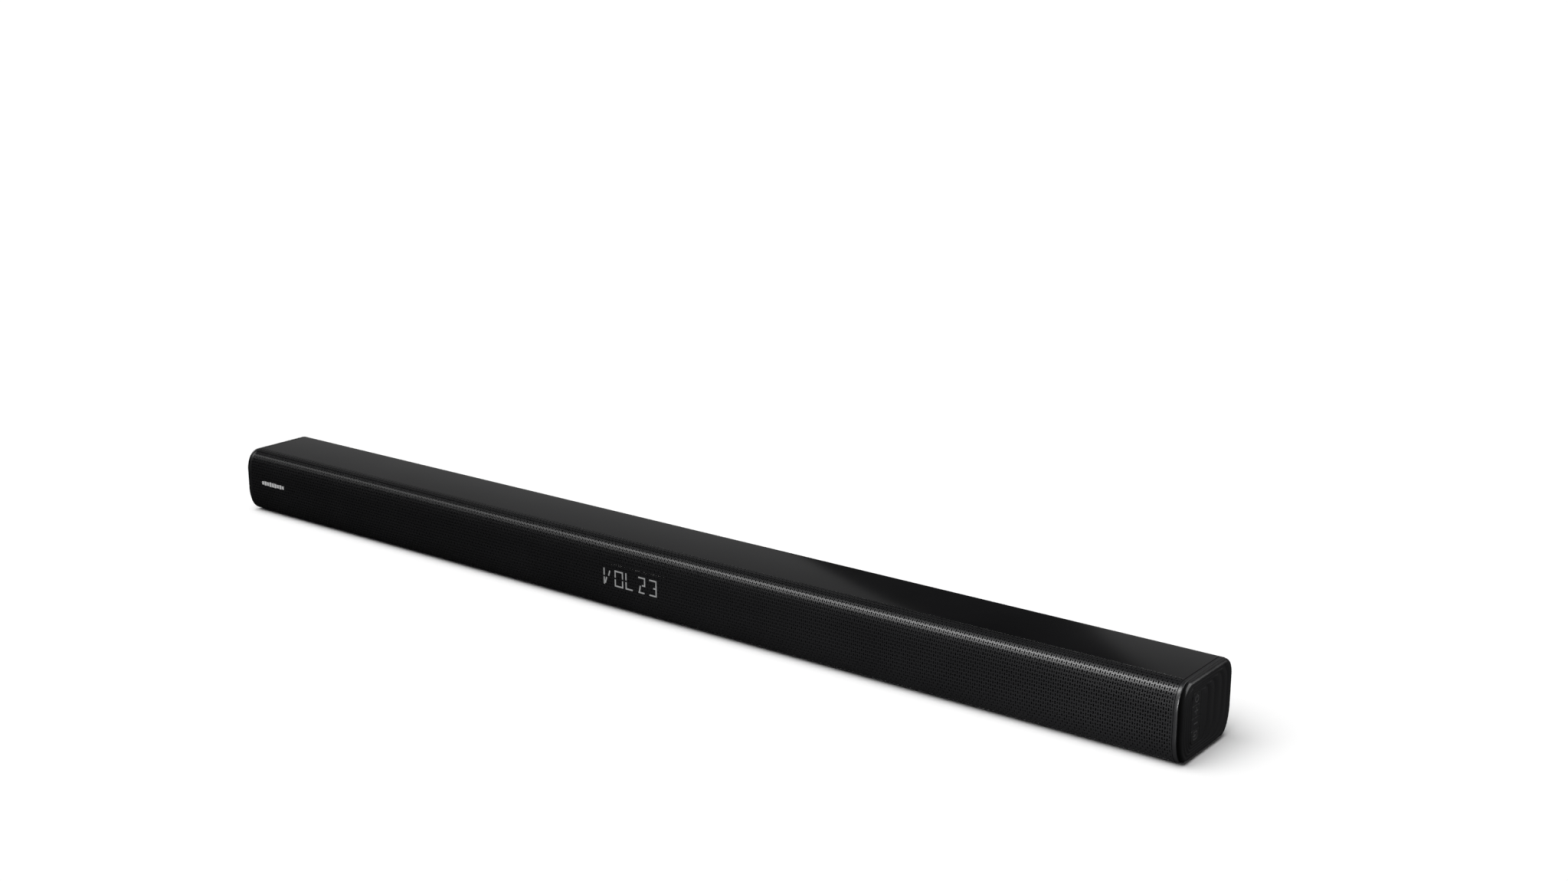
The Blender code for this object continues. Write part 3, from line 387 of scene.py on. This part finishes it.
def grillePiece(firstColumn, columnCount):
    # a run of fields as one closed sheet: outer skin, inner skin, the wall of every opening and the sheet's
    # four edges
    rows, pitchX, pitchS = grille["rows"], grille["columnPitch"], grille["rowPitch"]
    margin = (grilleArc[-1] - rows * pitchS) / 2
    left = -grille["columns"] * pitchX / 2
    # lattice lines at half pitch, with the seam margins added as outer lines
    lineX = left + pitchX * (firstColumn + np.arange(2 * columnCount + 1) / 2)
    lineS = margin + pitchS * np.arange(2 * rows + 1) / 2
    if firstColumn == 0:
        lineX = np.concatenate([[-grille["end"]], lineX])
    if firstColumn + columnCount == grille["columns"]:
        lineX = np.concatenate([lineX, [grille["end"]]])
    lineS = np.concatenate([[0.0], lineS, [grilleArc[-1]]])
    gridX, gridS = np.meshgrid(lineX, lineS, indexing="ij")
    countX, countS = gridX.shape
    offX, offS = (1 if firstColumn == 0 else 0), 1
    column, row = np.meshgrid(np.arange(columnCount), np.arange(rows), indexing="ij")
    column, row = column.ravel(), row.ravel()
    middleX = left + pitchX * (firstColumn + column + 0.5)
    middleS = margin + pitchS * (row + 0.5)
    slots = (column + firstColumn + row) % 2 == 0
    slotRim = openingRim(grille["slotWidth"] / 2, grille["slotLength"] / 2)
    holeRim = openingRim(grille["holeDiameter"] / 2, grille["holeDiameter"] / 2)
    rim = np.where(slots[:, None, None], slotRim[None], holeRim[None])
    rimX, rimS = middleX[:, None] + rim[..., 0], middleS[:, None] + rim[..., 1]
    flatX = np.concatenate([gridX.ravel(), rimX.ravel()])
    flatS = np.concatenate([gridS.ravel(), rimS.ravel()])
    outer, inner = onGrille(flatX, flatS, 0.0), onGrille(flatX, flatS, grille["sheet"])
    # the badge sits in a shallow seat, sunk into the sheet's outer skin
    low, high = (np.array(c) * 1000 for c in grille["badge"])
    seatEdge = grille["badgeMargin"]
    seat = ((outer[:, 0] > low[0] - seatEdge) & (outer[:, 0] < high[0] + seatEdge)
            & (outer[:, 2] > low[2] - seatEdge) & (outer[:, 2] < high[2] + seatEdge)
            & (outer[:, 1] < grille["flatFront"]))
    outer[seat, 1] += grille["badgeDepth"]
    total = len(flatX)
    centreI, centreJ = offX + 2 * column + 1, offS + 2 * row + 1
    rimPoint = (centreI[:, None] + fieldRim[:, 0]) * countS + centreJ[:, None] + fieldRim[:, 1]
    holePoint = countX * countS + np.arange(len(column))[:, None] * 12 + np.arange(12)[None]
    a, b = rimPoint, holePoint
    quads, triangles = [], []
    for k in range(4):  # each quarter: a straight side, a corner triangle, a straight side
        e, c, f = 2 * k, 2 * k + 1, (2 * k + 2) % 8
        h = [3 * k, 3 * k + 1, 3 * k + 2, (3 * k + 3) % 12]
        quads.append(np.stack([a[:, e], a[:, c], b[:, h[1]], b[:, h[0]]], -1))
        triangles.append(np.stack([a[:, c], b[:, h[2]], b[:, h[1]]], -1))
        quads.append(np.stack([a[:, c], a[:, f], b[:, h[3]], b[:, h[2]]], -1))
    nextHole = np.roll(holePoint, -1, axis=1)
    walls = np.stack([holePoint, nextHole, nextHole + total, holePoint + total], -1).reshape(-1, 4)
    # plain strips along the seams and the ends
    ii, jj = np.meshgrid(np.arange(countX - 1), np.arange(countS - 1), indexing="ij")
    inField = (ii >= offX) & (ii < offX + 2 * columnCount) & (jj >= offS) & (jj < offS + 2 * rows)
    ii, jj = ii[~inField], jj[~inField]
    corner = ii * countS + jj
    strips = np.stack([corner, corner + countS, corner + countS + 1, corner + 1], -1)
    skinQuads, skinTriangles = np.concatenate(quads + [strips]), np.concatenate(triangles)
    # the sheet's own four edges
    idx = np.arange(countX * countS).reshape(countX, countS)
    border = np.concatenate([idx[:-1, 0], idx[-1, :-1], idx[:0:-1, -1], idx[0, :0:-1]])
    nextBorder = np.roll(border, -1)
    edge = np.stack([border, border + total, nextBorder + total, nextBorder], -1)
    points = np.concatenate([outer, inner])
    used = np.zeros(len(points), bool)
    faceSets = [skinQuads, skinTriangles, skinQuads[:, ::-1] + total, skinTriangles[:, ::-1] + total,
                walls, edge]
    for faces in faceSets:
        used[faces.ravel()] = True
    renumber = np.cumsum(used) - 1
    return points[used], [renumber[f] for f in faceSets]


columnSplits = np.array_split(np.arange(grille["columns"]), grille["pieces"])
for number, run in enumerate(columnSplits):
    sheet = grillePiece(int(run[0]), len(run))
    made = buildMesh("grille_section_%d" % (number + 1), *sheet, smoothAngle=40.0)
    place(made, "bar", powderCoat, ["front_grille"] if number == 0 else [])
print("grille: %d openings" % (grille["columns"] * grille["rows"]))

# A generic badge without lettering: a dark plate with a row of bright bars like a level meter.
badge = {
    "bars": (3.0, 3.8, 3.3, 4.2, 3.6, 4.0, 3.2, 3.7, 2.9), "barWidth": 2.75, "barGap": 0.75, "barRadius": 0.3,
    "plateFace": -37.55, "barFace": -37.72, "barSink": 0.02, "plateRadius": 0.5,
}


def prism(outline, low, high, axis="y"):
    # a flat (u, v) outline carried along an axis
    u, v = np.asarray(outline, float).T
    rings = []
    for at in (low, high):
        w = np.full(len(u), at)
        rings.append(np.stack({"x": (w, u, v), "y": (u, w, v), "z": (u, v, w)}[axis], -1))
    return loft(rings)


def roundedRectangle(halfU, halfV, radius, middle=(0.0, 0.0), steps=4):
    # anticlockwise from the lower right corner, each corner a quarter circle
    parts = []
    for signU, signV, start in ((1, -1, -90), (1, 1, 0), (-1, 1, 90), (-1, -1, 180)):
        angle = np.radians(start + np.linspace(0, 90, steps + 1))
        parts.append(np.stack([middle[0] + signU * (halfU - radius) + radius * np.cos(angle),
                               middle[1] + signV * (halfV - radius) + radius * np.sin(angle)], -1))
    return np.concatenate(parts)


badgeLow, badgeHigh = (np.array(c) * 1000 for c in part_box("front_badge"))
badgeMiddle = (badgeLow + badgeHigh) / 2
badgeHalf = (badgeHigh - badgeLow) / 2
plateOutline = roundedRectangle(badgeHalf[0], badgeHalf[2], badge["plateRadius"],
                                (badgeMiddle[0], badgeMiddle[2]))
place(buildMesh("badge_plate", *prism(plateOutline, badge["plateFace"], badgeHigh[1])), "bar", blackAnodised,
      ["front_badge"])
barStep = badge["barWidth"] + badge["barGap"]
barParts = []
for k, height in enumerate(badge["bars"]):
    barX = badgeMiddle[0] + (k - (len(badge["bars"]) - 1) / 2) * barStep
    levelBar = roundedRectangle(badge["barWidth"] / 2, height / 2, badge["barRadius"], (barX, badgeMiddle[2]))
    barParts.append(prism(levelBar, badge["barFace"], badge["plateFace"] + badge["barSink"]))
place(buildMesh("badge_bars", *joinParts(barParts)), "bar", silverPaint)

# Top and upper back: an L-shaped moulding with an inner lip that hooks behind the bottom case's wall.
cover = {
    "end": 468.3, "wall": 2.3, "seamY": -22.6, "edge": 0.06, "backSeam": 44.1, "backEdge": 0.25,
    "lipFront": 30.9, "lipTop": 45.9, "hookFront": 2.1, "hookBack": 0.3, "hookDrop": 1.6,
}


def coverProfile():
    # the moulding's closed section in (Y, Z): outer arc, rounded seam edge, inner arc, lip and hook
    half = barOutline["halfDepth"]
    sides = (-half, half, barOutline["bottom"], barOutline["top"])
    outer = cornerArc(sides, "backTop", barOutline["reach"]["backTop"], 0.0, 20)
    inner = cornerArc(sides, "backTop", barOutline["reach"]["backTop"], cover["wall"], 20)[::-1]
    turn = np.radians(90 + np.linspace(0, 90, 5))
    seam = np.stack([cover["seamY"] + cover["edge"] + cover["edge"] * np.cos(turn),
                     barOutline["top"] - cover["edge"] + cover["edge"] * np.sin(turn)], -1)
    inside, back = half - cover["wall"], cover["backSeam"]
    hookFront, hookBack = inside - cover["hookFront"], inside - cover["hookBack"]
    hook = back - cover["hookDrop"]
    tail = [(cover["seamY"], barOutline["top"] - cover["wall"])]
    lip = [(inside, cover["lipTop"]), (cover["lipFront"], cover["lipTop"]), (cover["lipFront"], back),
           (hookFront, back), (hookFront, hook), (hookBack, hook), (hookBack, back),
           (half - cover["backEdge"], back), (half, back + cover["backEdge"])]
    return np.concatenate([outer, seam, tail, inner, lip])


coverSection = coverProfile()
coverRings = [ringAt(x, coverSection) for x in (-cover["end"], cover["end"])]
place(buildMesh("top_cover_shell", *loft(coverRings)), "bar", satinAbs, ["top_cover"])
place(tidyCopy("bottom_case", "bottom_case_shell"), "bar", caseAbs, ["bottom_case"])
print("covers")

# A satin band on the outline, its spigot plugged into the covers, and a gloss plate with nested ripples.
cap = {
    "bandStart": 468.6, "bandEnd": 471.5, "spigotStart": 464.5, "edge": 0.35, "spigotInset": 2.6,
    "hollowInset": 4.2,
}


def bandRings(side):
    # the cap's closed (x, inset) profile, carried round the outline
    start, end, edge = cap["bandStart"], cap["bandEnd"], cap["edge"]
    turn = np.radians(np.linspace(0, 90, 4))
    profile = [(end, cap["hollowInset"])]
    profile += [(end - edge + edge * cos(t), edge - edge * sin(t)) for t in turn]
    profile += [(start + edge - edge * sin(t), edge - edge * cos(t)) for t in turn]
    profile += [(start, cap["spigotInset"]), (cap["spigotStart"], cap["spigotInset"]),
                (cap["spigotStart"], cap["hollowInset"])]
    return [ringAt(side * x, wholeOutline(inset, 24)) for x, inset in profile]


# each ripple is a groove round a loop: its front, back, bottom and top sides, then the reach of its corners
# as a share of the bar's own
plate = {
    "back": 471.8, "face": 475.0, "rim": 2.8, "gap": 0.3, "steps": 24,
    "loops": [
        (-35.2, 30.9, 4.4, 55.5, 0.93), (-32.0, 23.2, 6.4, 53.5, 0.84), (-28.7, 11.9, 8.4, 51.7, 0.68),
        (-25.4, 1.8, 10.4, 49.9, 0.50),
    ],
    "grooveWidth": 1.2, "grooveDepth": 0.5, "grooveFloor": (0.4, 0.6), "fall": 0.04, "cornerLimit": 2.2,
    "slot": (-22.3, -10.1, 13.35, 48.15), "slotRadius": 0.9, "slotDrop": 0.1,
}


def plateRings(side):
    # rings from the plate's back edge over the quarter circle of its rim, through each groove and, on the
    # right, into the key slot
    half, steps = barOutline["halfDepth"], plate["steps"]
    reach = barOutline["reach"]
    rings = [ringAt(plate["back"], wholeOutline(plate["gap"], steps))]
    for t in np.radians(np.linspace(0, 90, 8)):
        inset = plate["gap"] + plate["rim"] * (1 - cos(t))
        rings.append(ringAt(plate["face"] - plate["rim"] * (1 - sin(t)), wholeOutline(inset, steps)))
    height, limit = plate["face"], plate["cornerLimit"]
    width, depth = plate["grooveWidth"], plate["grooveDepth"]
    floorStart, floorEnd = plate["grooveFloor"]
    for front, back, bottom, top, share in plate["loops"]:
        own = {c: (min(r[0] * share, (back - front) / limit), min(r[1] * share, (top - bottom) / limit))
               for c, r in reach.items()}
        for grow, drop in ((0.0, 0.0), (floorStart * width, depth), (floorEnd * width, depth), (width, 0.0)):
            sides = (front + grow, back - grow, bottom + grow, top - grow)
            rings.append(ringAt(height - drop, wholeOutline(grow, steps, sides, own)))
        height -= plate["fall"]
    small = {c: (plate["slotRadius"],) * 2 for c in reach}
    slotOutline = wholeOutline(0.0, steps, plate["slot"], small)
    rings.append(ringAt(height - plate["slotDrop"], slotOutline))
    if side > 0:
        rings.append(ringAt(plate["back"], slotOutline))
    rings = np.array(rings)
    rings[..., 0] *= side
    return rings


for side, sideName in ((-1, "left"), (1, "right")):
    band = buildMesh("end_cap_band_" + sideName, *loft(bandRings(side), closed=True))
    place(band, "bar", trimAbs, ["end_cap_" + sideName])
    shape = loft(plateRings(side), closed=side > 0)
    gloss = buildMesh("end_plate_gloss_" + sideName, *shape, smoothAngle=28.0)
    place(gloss, "bar", glossAbs, ["end_plate_" + sideName])
print("end caps")

# Four gloss keys in the right plate, each with its printed symbol. A key is one loft from stem to face.
keys = {
    "middleY": -16.2, "grow": 0.11, "face": 474.72, "edge": 0.15, "halfWidth": 6.04, "radius": 0.6,
    "dish": 0.05, "dishInset": 1.6, "lip": 6.8, "lipStart": 472.2, "lipEnd": 472.8, "lipRadius": 0.4,
    "stem": 1.5, "stemStart": 466.4, "stroke": 0.62, "inkSink": 0.08, "inkHeight": 0.02,
    "names": ("power_button", "volume_up_button", "volume_down_button", "source_button"),
}


def keyShape(middleZ, halfHeight):
    # stations of (x, half width, half height, corner radius) lofted as rounded rectangles
    face, edge, width, radius, stem = (keys[k] for k in ("face", "edge", "halfWidth", "radius", "stem"))
    stations = [(keys["stemStart"], stem, stem, stem), (keys["lipStart"], stem, stem, stem),
                (keys["lipStart"], keys["lip"], halfHeight, keys["lipRadius"]),
                (keys["lipEnd"], keys["lip"], halfHeight, keys["lipRadius"]),
                (keys["lipEnd"], width, halfHeight, radius), (face - edge, width, halfHeight, radius)]
    for t in np.radians([30, 60, 90]):
        shrink = edge * (1 - cos(t))
        stations.append((face - edge * (1 - sin(t)), width - shrink, halfHeight - shrink, radius))
    stations.append((face - keys["dish"], width - keys["dishInset"], halfHeight - keys["dishInset"], radius))
    rings = []
    for x, halfY, halfZ, corner in stations:
        rings.append(ringAt(x, roundedRectangle(halfY, halfZ, corner, (keys["middleY"], middleZ), 6)))
    return loft(rings)


def stroke(points, width):
    # a line drawn as a flat band of even width: each point moved half the width to both sides of the line's
    # own direction there
    points = np.asarray(points, float)
    ahead, behind = np.vstack([points[1:], points[-1:]]), np.vstack([points[:1], points[:-1]])
    direction = ahead - behind
    direction /= np.linalg.norm(direction, axis=1)[:, None]
    side = np.stack([-direction[:, 1], direction[:, 0]], -1) * width / 2
    return points + side, points - side


def flatBand(points, width, low, high):
    # the band of stroke() given a thickness along X, as a loft of four-cornered sections
    outer, inner = stroke(points, width)
    x = np.ones(len(outer))
    rings = np.stack([np.column_stack([x * low, outer]), np.column_stack([x * high, outer]),
                      np.column_stack([x * high, inner]), np.column_stack([x * low, inner])], 1)
    return loft(rings)


# each symbol's centre lines in (Y, Z), in millimetres round its key's middle
ringTurn = np.radians(np.linspace(125, 415, 25))
symbols = {
    "power_button": [2.3 * np.stack([np.cos(ringTurn), np.sin(ringTurn)], -1), [(0, 0.6), (0, 3.0)]],
    "volume_up_button": [[(-2.6, 0), (2.6, 0)], [(0, -2.6), (0, 2.6)]],
    "volume_down_button": [[(-2.6, 0), (2.6, 0)]],
    "source_button": [
        [(-2.2, 1.2), (-2.2, 2.6), (2.6, 2.6), (2.6, -2.6), (-2.2, -2.6), (-2.2, -1.2)],
        [(-3.2, 0), (0.8, 0)], [(-0.5, 1.2), (0.9, 0), (-0.5, -1.2)],
    ],
}


for name in keys["names"]:
    low, high = (np.array(c) * 1000 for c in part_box(name))
    middleZ, halfHeight = (low[2] + high[2]) / 2, (high[2] - low[2]) / 2 + keys["grow"]
    place(buildMesh(name + "_cap", *keyShape(middleZ, halfHeight)), name, keyAbs, [name])
    inkSpan = (keys["face"] - keys["inkSink"], keys["face"] + keys["inkHeight"])
    bands = [flatBand(np.asarray(line, float) + (keys["middleY"], middleZ), keys["stroke"], *inkSpan)
             for line in symbols[name]]
    place(buildMesh(name + "_symbol", *joinParts(bands)), name, printInk)
print("keys")

# Lit segments of a level reading: bars given by their centre lines in (X, Z), as a thin film just in front
# of the sheet that stands for the light shining through it.
display = {"top": 36.0, "height": 13.5, "stroke": 1.2, "halfGap": 0.7, "front": -37.73, "back": -37.70}


def glyphLines():
    # the segments of each figure from left to right; a split side stops halfGap above and below the middle
    t, h, w, gap = display["top"], display["height"], display["stroke"], display["halfGap"]
    mid, low, e = t - h / 2, t - h + w / 2, w / 2
    top = t - e

    def sides(left, right):
        # the centre lines of a figure's outermost upright segments
        return left + e, right - e

    lines = []
    x0 = -28.2 + e   # V
    lines += [[(x0, t), (x0, mid + gap)], [(x0, mid - gap), (x0, t - h)],
              [(-21.5, t - 1.4), (-22.8, t - 5.8)], [(-25.0, t - 7.4), (-26.5, t - 12.4)]]
    x0, x1 = sides(-16.4, -7.5)   # O
    for x in (x0, x1):
        lines += [[(x, t), (x, mid + gap)], [(x, mid - gap), (x, t - h)]]
    lines += [[(x0, top), (x1, top)], [(x0, low), (x1, low)]]
    x0, x1 = sides(-5.0, 2.5)   # L
    lines += [[(x0, t), (x0, mid + gap)], [(x0, mid - gap), (x0, t - h)], [(x0, low), (x1 + e, low)]]
    x0, x1 = sides(8.6, 15.7)   # 2
    lines += [[(x0 - e, top), (x1, top)], [(x1, t), (x1, mid - e)], [(12.3, mid), (x1, mid)],
              [(10.6, mid - 0.5), (9.5, low)], [(x0 - e, low), (x1 - 0.3, low)]]
    x0, x1 = sides(20.0, 27.5)   # 3
    lines += [[(x0 - e, top), (x1, top)], [(x1, t), (x1, t - h)], [(24.0, mid), (x1, mid)],
              [(x0 - e, low), (x1, low)]]
    return lines


def segmentBar(line, width):
    # a straight bar with its ends cut square, as a prism along Y
    a, b = np.array(line[0], float), np.array(line[1], float)
    d = (b - a) / np.linalg.norm(b - a)
    n = np.array([-d[1], d[0]]) * width / 2
    return prism([a - n, b - n, b + n, a + n], display["front"], display["back"])


segmentBars = [segmentBar(line, display["stroke"]) for line in glyphLines()]
place(buildMesh("display_segments", *joinParts(segmentBars)), "bar", litSegment)
print("display")

# Nodes that keep the CAD shape and only get their finish.
carried = {
    "front_baffle": innerAbs, "display_window": smokedAcrylic, "display_module": displayAbs,
    "display_board": boardMask, "button_board": boardMask, "main_board": boardMask, "power_board": boardMask,
    "wireless_module": boardMask, "heat_sink": heatSinkAluminium, "transformer": ferrite,
    "port_tray": innerAbs, "hdmi_socket": zincPlate, "usb_socket": zincPlate, "aux_socket": innerAbs,
    "optical_socket": innerAbs, "power_inlet": innerAbs,
}
for sideName in ("left", "right"):
    prefix = sideName + "_driver_"
    carried.update({
        prefix + "basket": paintedSteel, prefix + "gasket": footRubber, prefix + "surround": surroundRubber,
        prefix + "cone": paperCone, prefix + "dust_cap": paperCone, prefix + "voice_coil": coilAluminium,
        prefix + "spider": spiderCloth, prefix + "top_plate": zincPlate, prefix + "magnet": ferrite,
        prefix + "yoke": zincPlate, "wall_bracket_" + sideName: paintedSteel,
        sideName + "_speaker_cable": cableSleeve,
        "foot_front_" + sideName: footRubber, "foot_back_" + sideName: footRubber,
    })
for name in ("left", "mid_left", "mid_right", "right"):
    carried["case_screw_" + name] = zincPlate
for name, material in carried.items():
    data = nodes[name].data
    data.materials.clear()
    data.materials.append(material)
print("carried over: %d" % len(carried))

scene = bpy.context.scene
scene.view_settings.view_transform = "Standard"


def stageMaterial(name, seen, unseen):
    # the camera sees a white paper floor; the bar's own reflections see a dim studio floor
    material = bpy.data.materials.new(name)
    material.use_nodes = True
    tree = material.node_tree
    tree.nodes.clear()
    path = addNode(tree, "ShaderNodeLightPath")
    paper = addNode(tree, "ShaderNodeBsdfDiffuse", {"Color": linear(seen)})
    dim = addNode(tree, "ShaderNodeBsdfDiffuse", {"Color": linear(unseen)})
    both = addNode(tree, "ShaderNodeMixShader", {
        0: path.outputs["Is Camera Ray"], 1: dim.outputs[0], 2: paper.outputs[0]})
    addNode(tree, "ShaderNodeOutputMaterial", {"Surface": both.outputs[0]})
    return material


def flatCard(name, corners):
    # one flat face through its corners, as part of the stage
    mesh = bpy.data.meshes.new(name)
    mesh.from_pydata(corners, [], [tuple(range(len(corners)))])
    card = bpy.data.objects.new(name, mesh)
    scene.collection.objects.link(card)
    card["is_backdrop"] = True
    return card


floorHalf = 40
floor = flatCard("floor", [
    (-floorHalf, -floorHalf, 0), (floorHalf, -floorHalf, 0),
    (floorHalf, floorHalf, 0), (-floorHalf, floorHalf, 0),
])
floor.data.materials.append(stageMaterial("white paper floor", "#ffffff", "#2a2a2a"))

floorOnly = bpy.data.collections.new("floor only")
floorOnly.objects.link(floor)
barOnly = bpy.data.collections.new("bar only")
# narrower groups keep a light's glint off the pieces it would spoil
barNotEnds = bpy.data.collections.new("bar without its gloss ends")
leftPlate = bpy.data.collections.new("left plate only")
caseOnly = bpy.data.collections.new("covers and back only")
frontOnly = bpy.data.collections.new("grille and end bands only")
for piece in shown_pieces():
    barOnly.objects.link(piece)
    glossEnd = piece.name.startswith("end_plate") or "button" in piece.name
    if piece.name.endswith("gloss_left"):
        leftPlate.objects.link(piece)
    if not glossEnd:
        barNotEnds.objects.link(piece)
        fromFront = piece.name.startswith(("grille", "end_cap"))
        (frontOnly if fromFront else caseOnly).objects.link(piece)

# the world is white to the camera and nearly dark to everything else
world = bpy.data.worlds.new("studio")
scene.world = world
world.use_nodes = True
tree = world.node_tree
tree.nodes.clear()
path = addNode(tree, "ShaderNodeLightPath")
seen = addNode(tree, "ShaderNodeBackground", {"Color": linear("#ffffff"), "Strength": 1.0})
unseen = addNode(tree, "ShaderNodeBackground", {"Color": linear("#ffffff"), "Strength": 0.016})
both = addNode(tree, "ShaderNodeMixShader", {
    0: path.outputs["Is Camera Ray"], 1: unseen.outputs[0], 2: seen.outputs[0]})
addNode(tree, "ShaderNodeOutputWorld", {"Surface": both.outputs[0]})


def lamp(name, kind, where, aim, power, receivers, **settings):
    # a lamp of a kind at a point, turned to face another, lighting only the given collection
    data = bpy.data.lights.new(name, kind)
    data.energy = power
    for key, value in settings.items():
        setattr(data, key, value)
    made = bpy.data.objects.new(name, data)
    made.location = where
    made.rotation_euler = (Vector(aim) - Vector(where)).to_track_quat("-Z", "Y").to_euler()
    made.visible_camera = False
    scene.collection.objects.link(made)
    made.light_linking.receiver_collection = receivers
    return made


def softBox(name, where, aim, size, brightness, receivers=barOnly):
    # a rectangular soft box; its power is brightness times pi times area, so brightness is what a mirror
    # would show
    power = brightness * pi * size[0] * size[1]
    return lamp(name, "AREA", where, aim, power, receivers, shape="RECTANGLE", size=size[0], size_y=size[1])


# the camera mirrored in the plane of the top cover: its height is twice the cover's height minus the camera's
mirroredCamera = Vector((0.9826, -1.1258, -0.4222))


def horizonCard(name, azimuths, elevations, distance, brightness):
    # a soft box that fills a window of directions as the top cover reflects them: azimuth turns from +Y
    # towards -X, and its sides are twice the distance times the tangent of half the window's angle
    azimuth, elevation = radians(sum(azimuths) / 2), radians(sum(elevations) / 2)
    way = Vector((-sin(azimuth) * cos(elevation), cos(azimuth) * cos(elevation), sin(elevation)))
    width = 2 * distance * np.tan(radians(azimuths[1] - azimuths[0]) / 2)
    height = 2 * distance * np.tan(radians(elevations[1] - elevations[0]) / 2)
    where = mirroredCamera + way * distance
    return softBox(name, where, mirroredCamera, (width, height), brightness)


lamp("overhead floor light", "SUN", (-0.12, -0.45, 1.0), (0, 0, 0), 3.25, floorOnly, angle=radians(66))
lamp("floor fill", "SUN", (0, 0, 1.0), (0, 0, 0), 0.25, floorOnly, angle=radians(170))
softBox("front strip left", (-2.45, -1.05, 1.5), (-2.45, 0, 0.05), (1.9, 0.5), 2.3, barNotEnds)
softBox("front strip middle", (-1.1, -1.05, 1.5), (-1.1, 0, 0.05), (0.8, 0.55), 9.0, barNotEnds)
softBox("front strip right", (-0.3, -0.95, 1.5), (-0.3, 0, 0.05), (0.8, 0.85), 11.5, barNotEnds)
softBox("front fill", (0.6, -0.5, 0.08), (0.55, 0, 0.03), (0.3, 0.25), 32.0, frontOnly)
horizonCard("horizon card left", (37, 62), (4, 36), 4.0, 0.19)
horizonCard("horizon card right", (10, 27.0), (4, 40), 4.0, 0.2)
softBox("end light", (1.7, 0.6, 1.1), (0.47, 0, 0.03), (2.2, 1.8), 2.5)
softBox("back light", (0.75, 2.0, 0.42), (0, 0, 0.03), (1.4, 0.5), 38.0, caseOnly)
softBox("back light far", (2.2, 1.3, 0.5), (0, 0, 0.03), (1.0, 0.6), 20.0, caseOnly)
softBox("left plate light", (-1.7, 0.6, 1.1), (-0.47, 0, 0.03), (2.2, 1.8), 2.5, leftPlate)
print("stage and lights")

cameraData = bpy.data.cameras.new("camera")
cameraData.lens = 45.0
cameraData.sensor_width = 36.0
cameraData.clip_start = 0.01
camera = bpy.data.objects.new("camera", cameraData)
camera.location = (0.98259, -1.1258, 0.53824)
camera.rotation_euler = (radians(90 - 15.063), 0, radians(37.345))
scene.collection.objects.link(camera)
scene.camera = camera
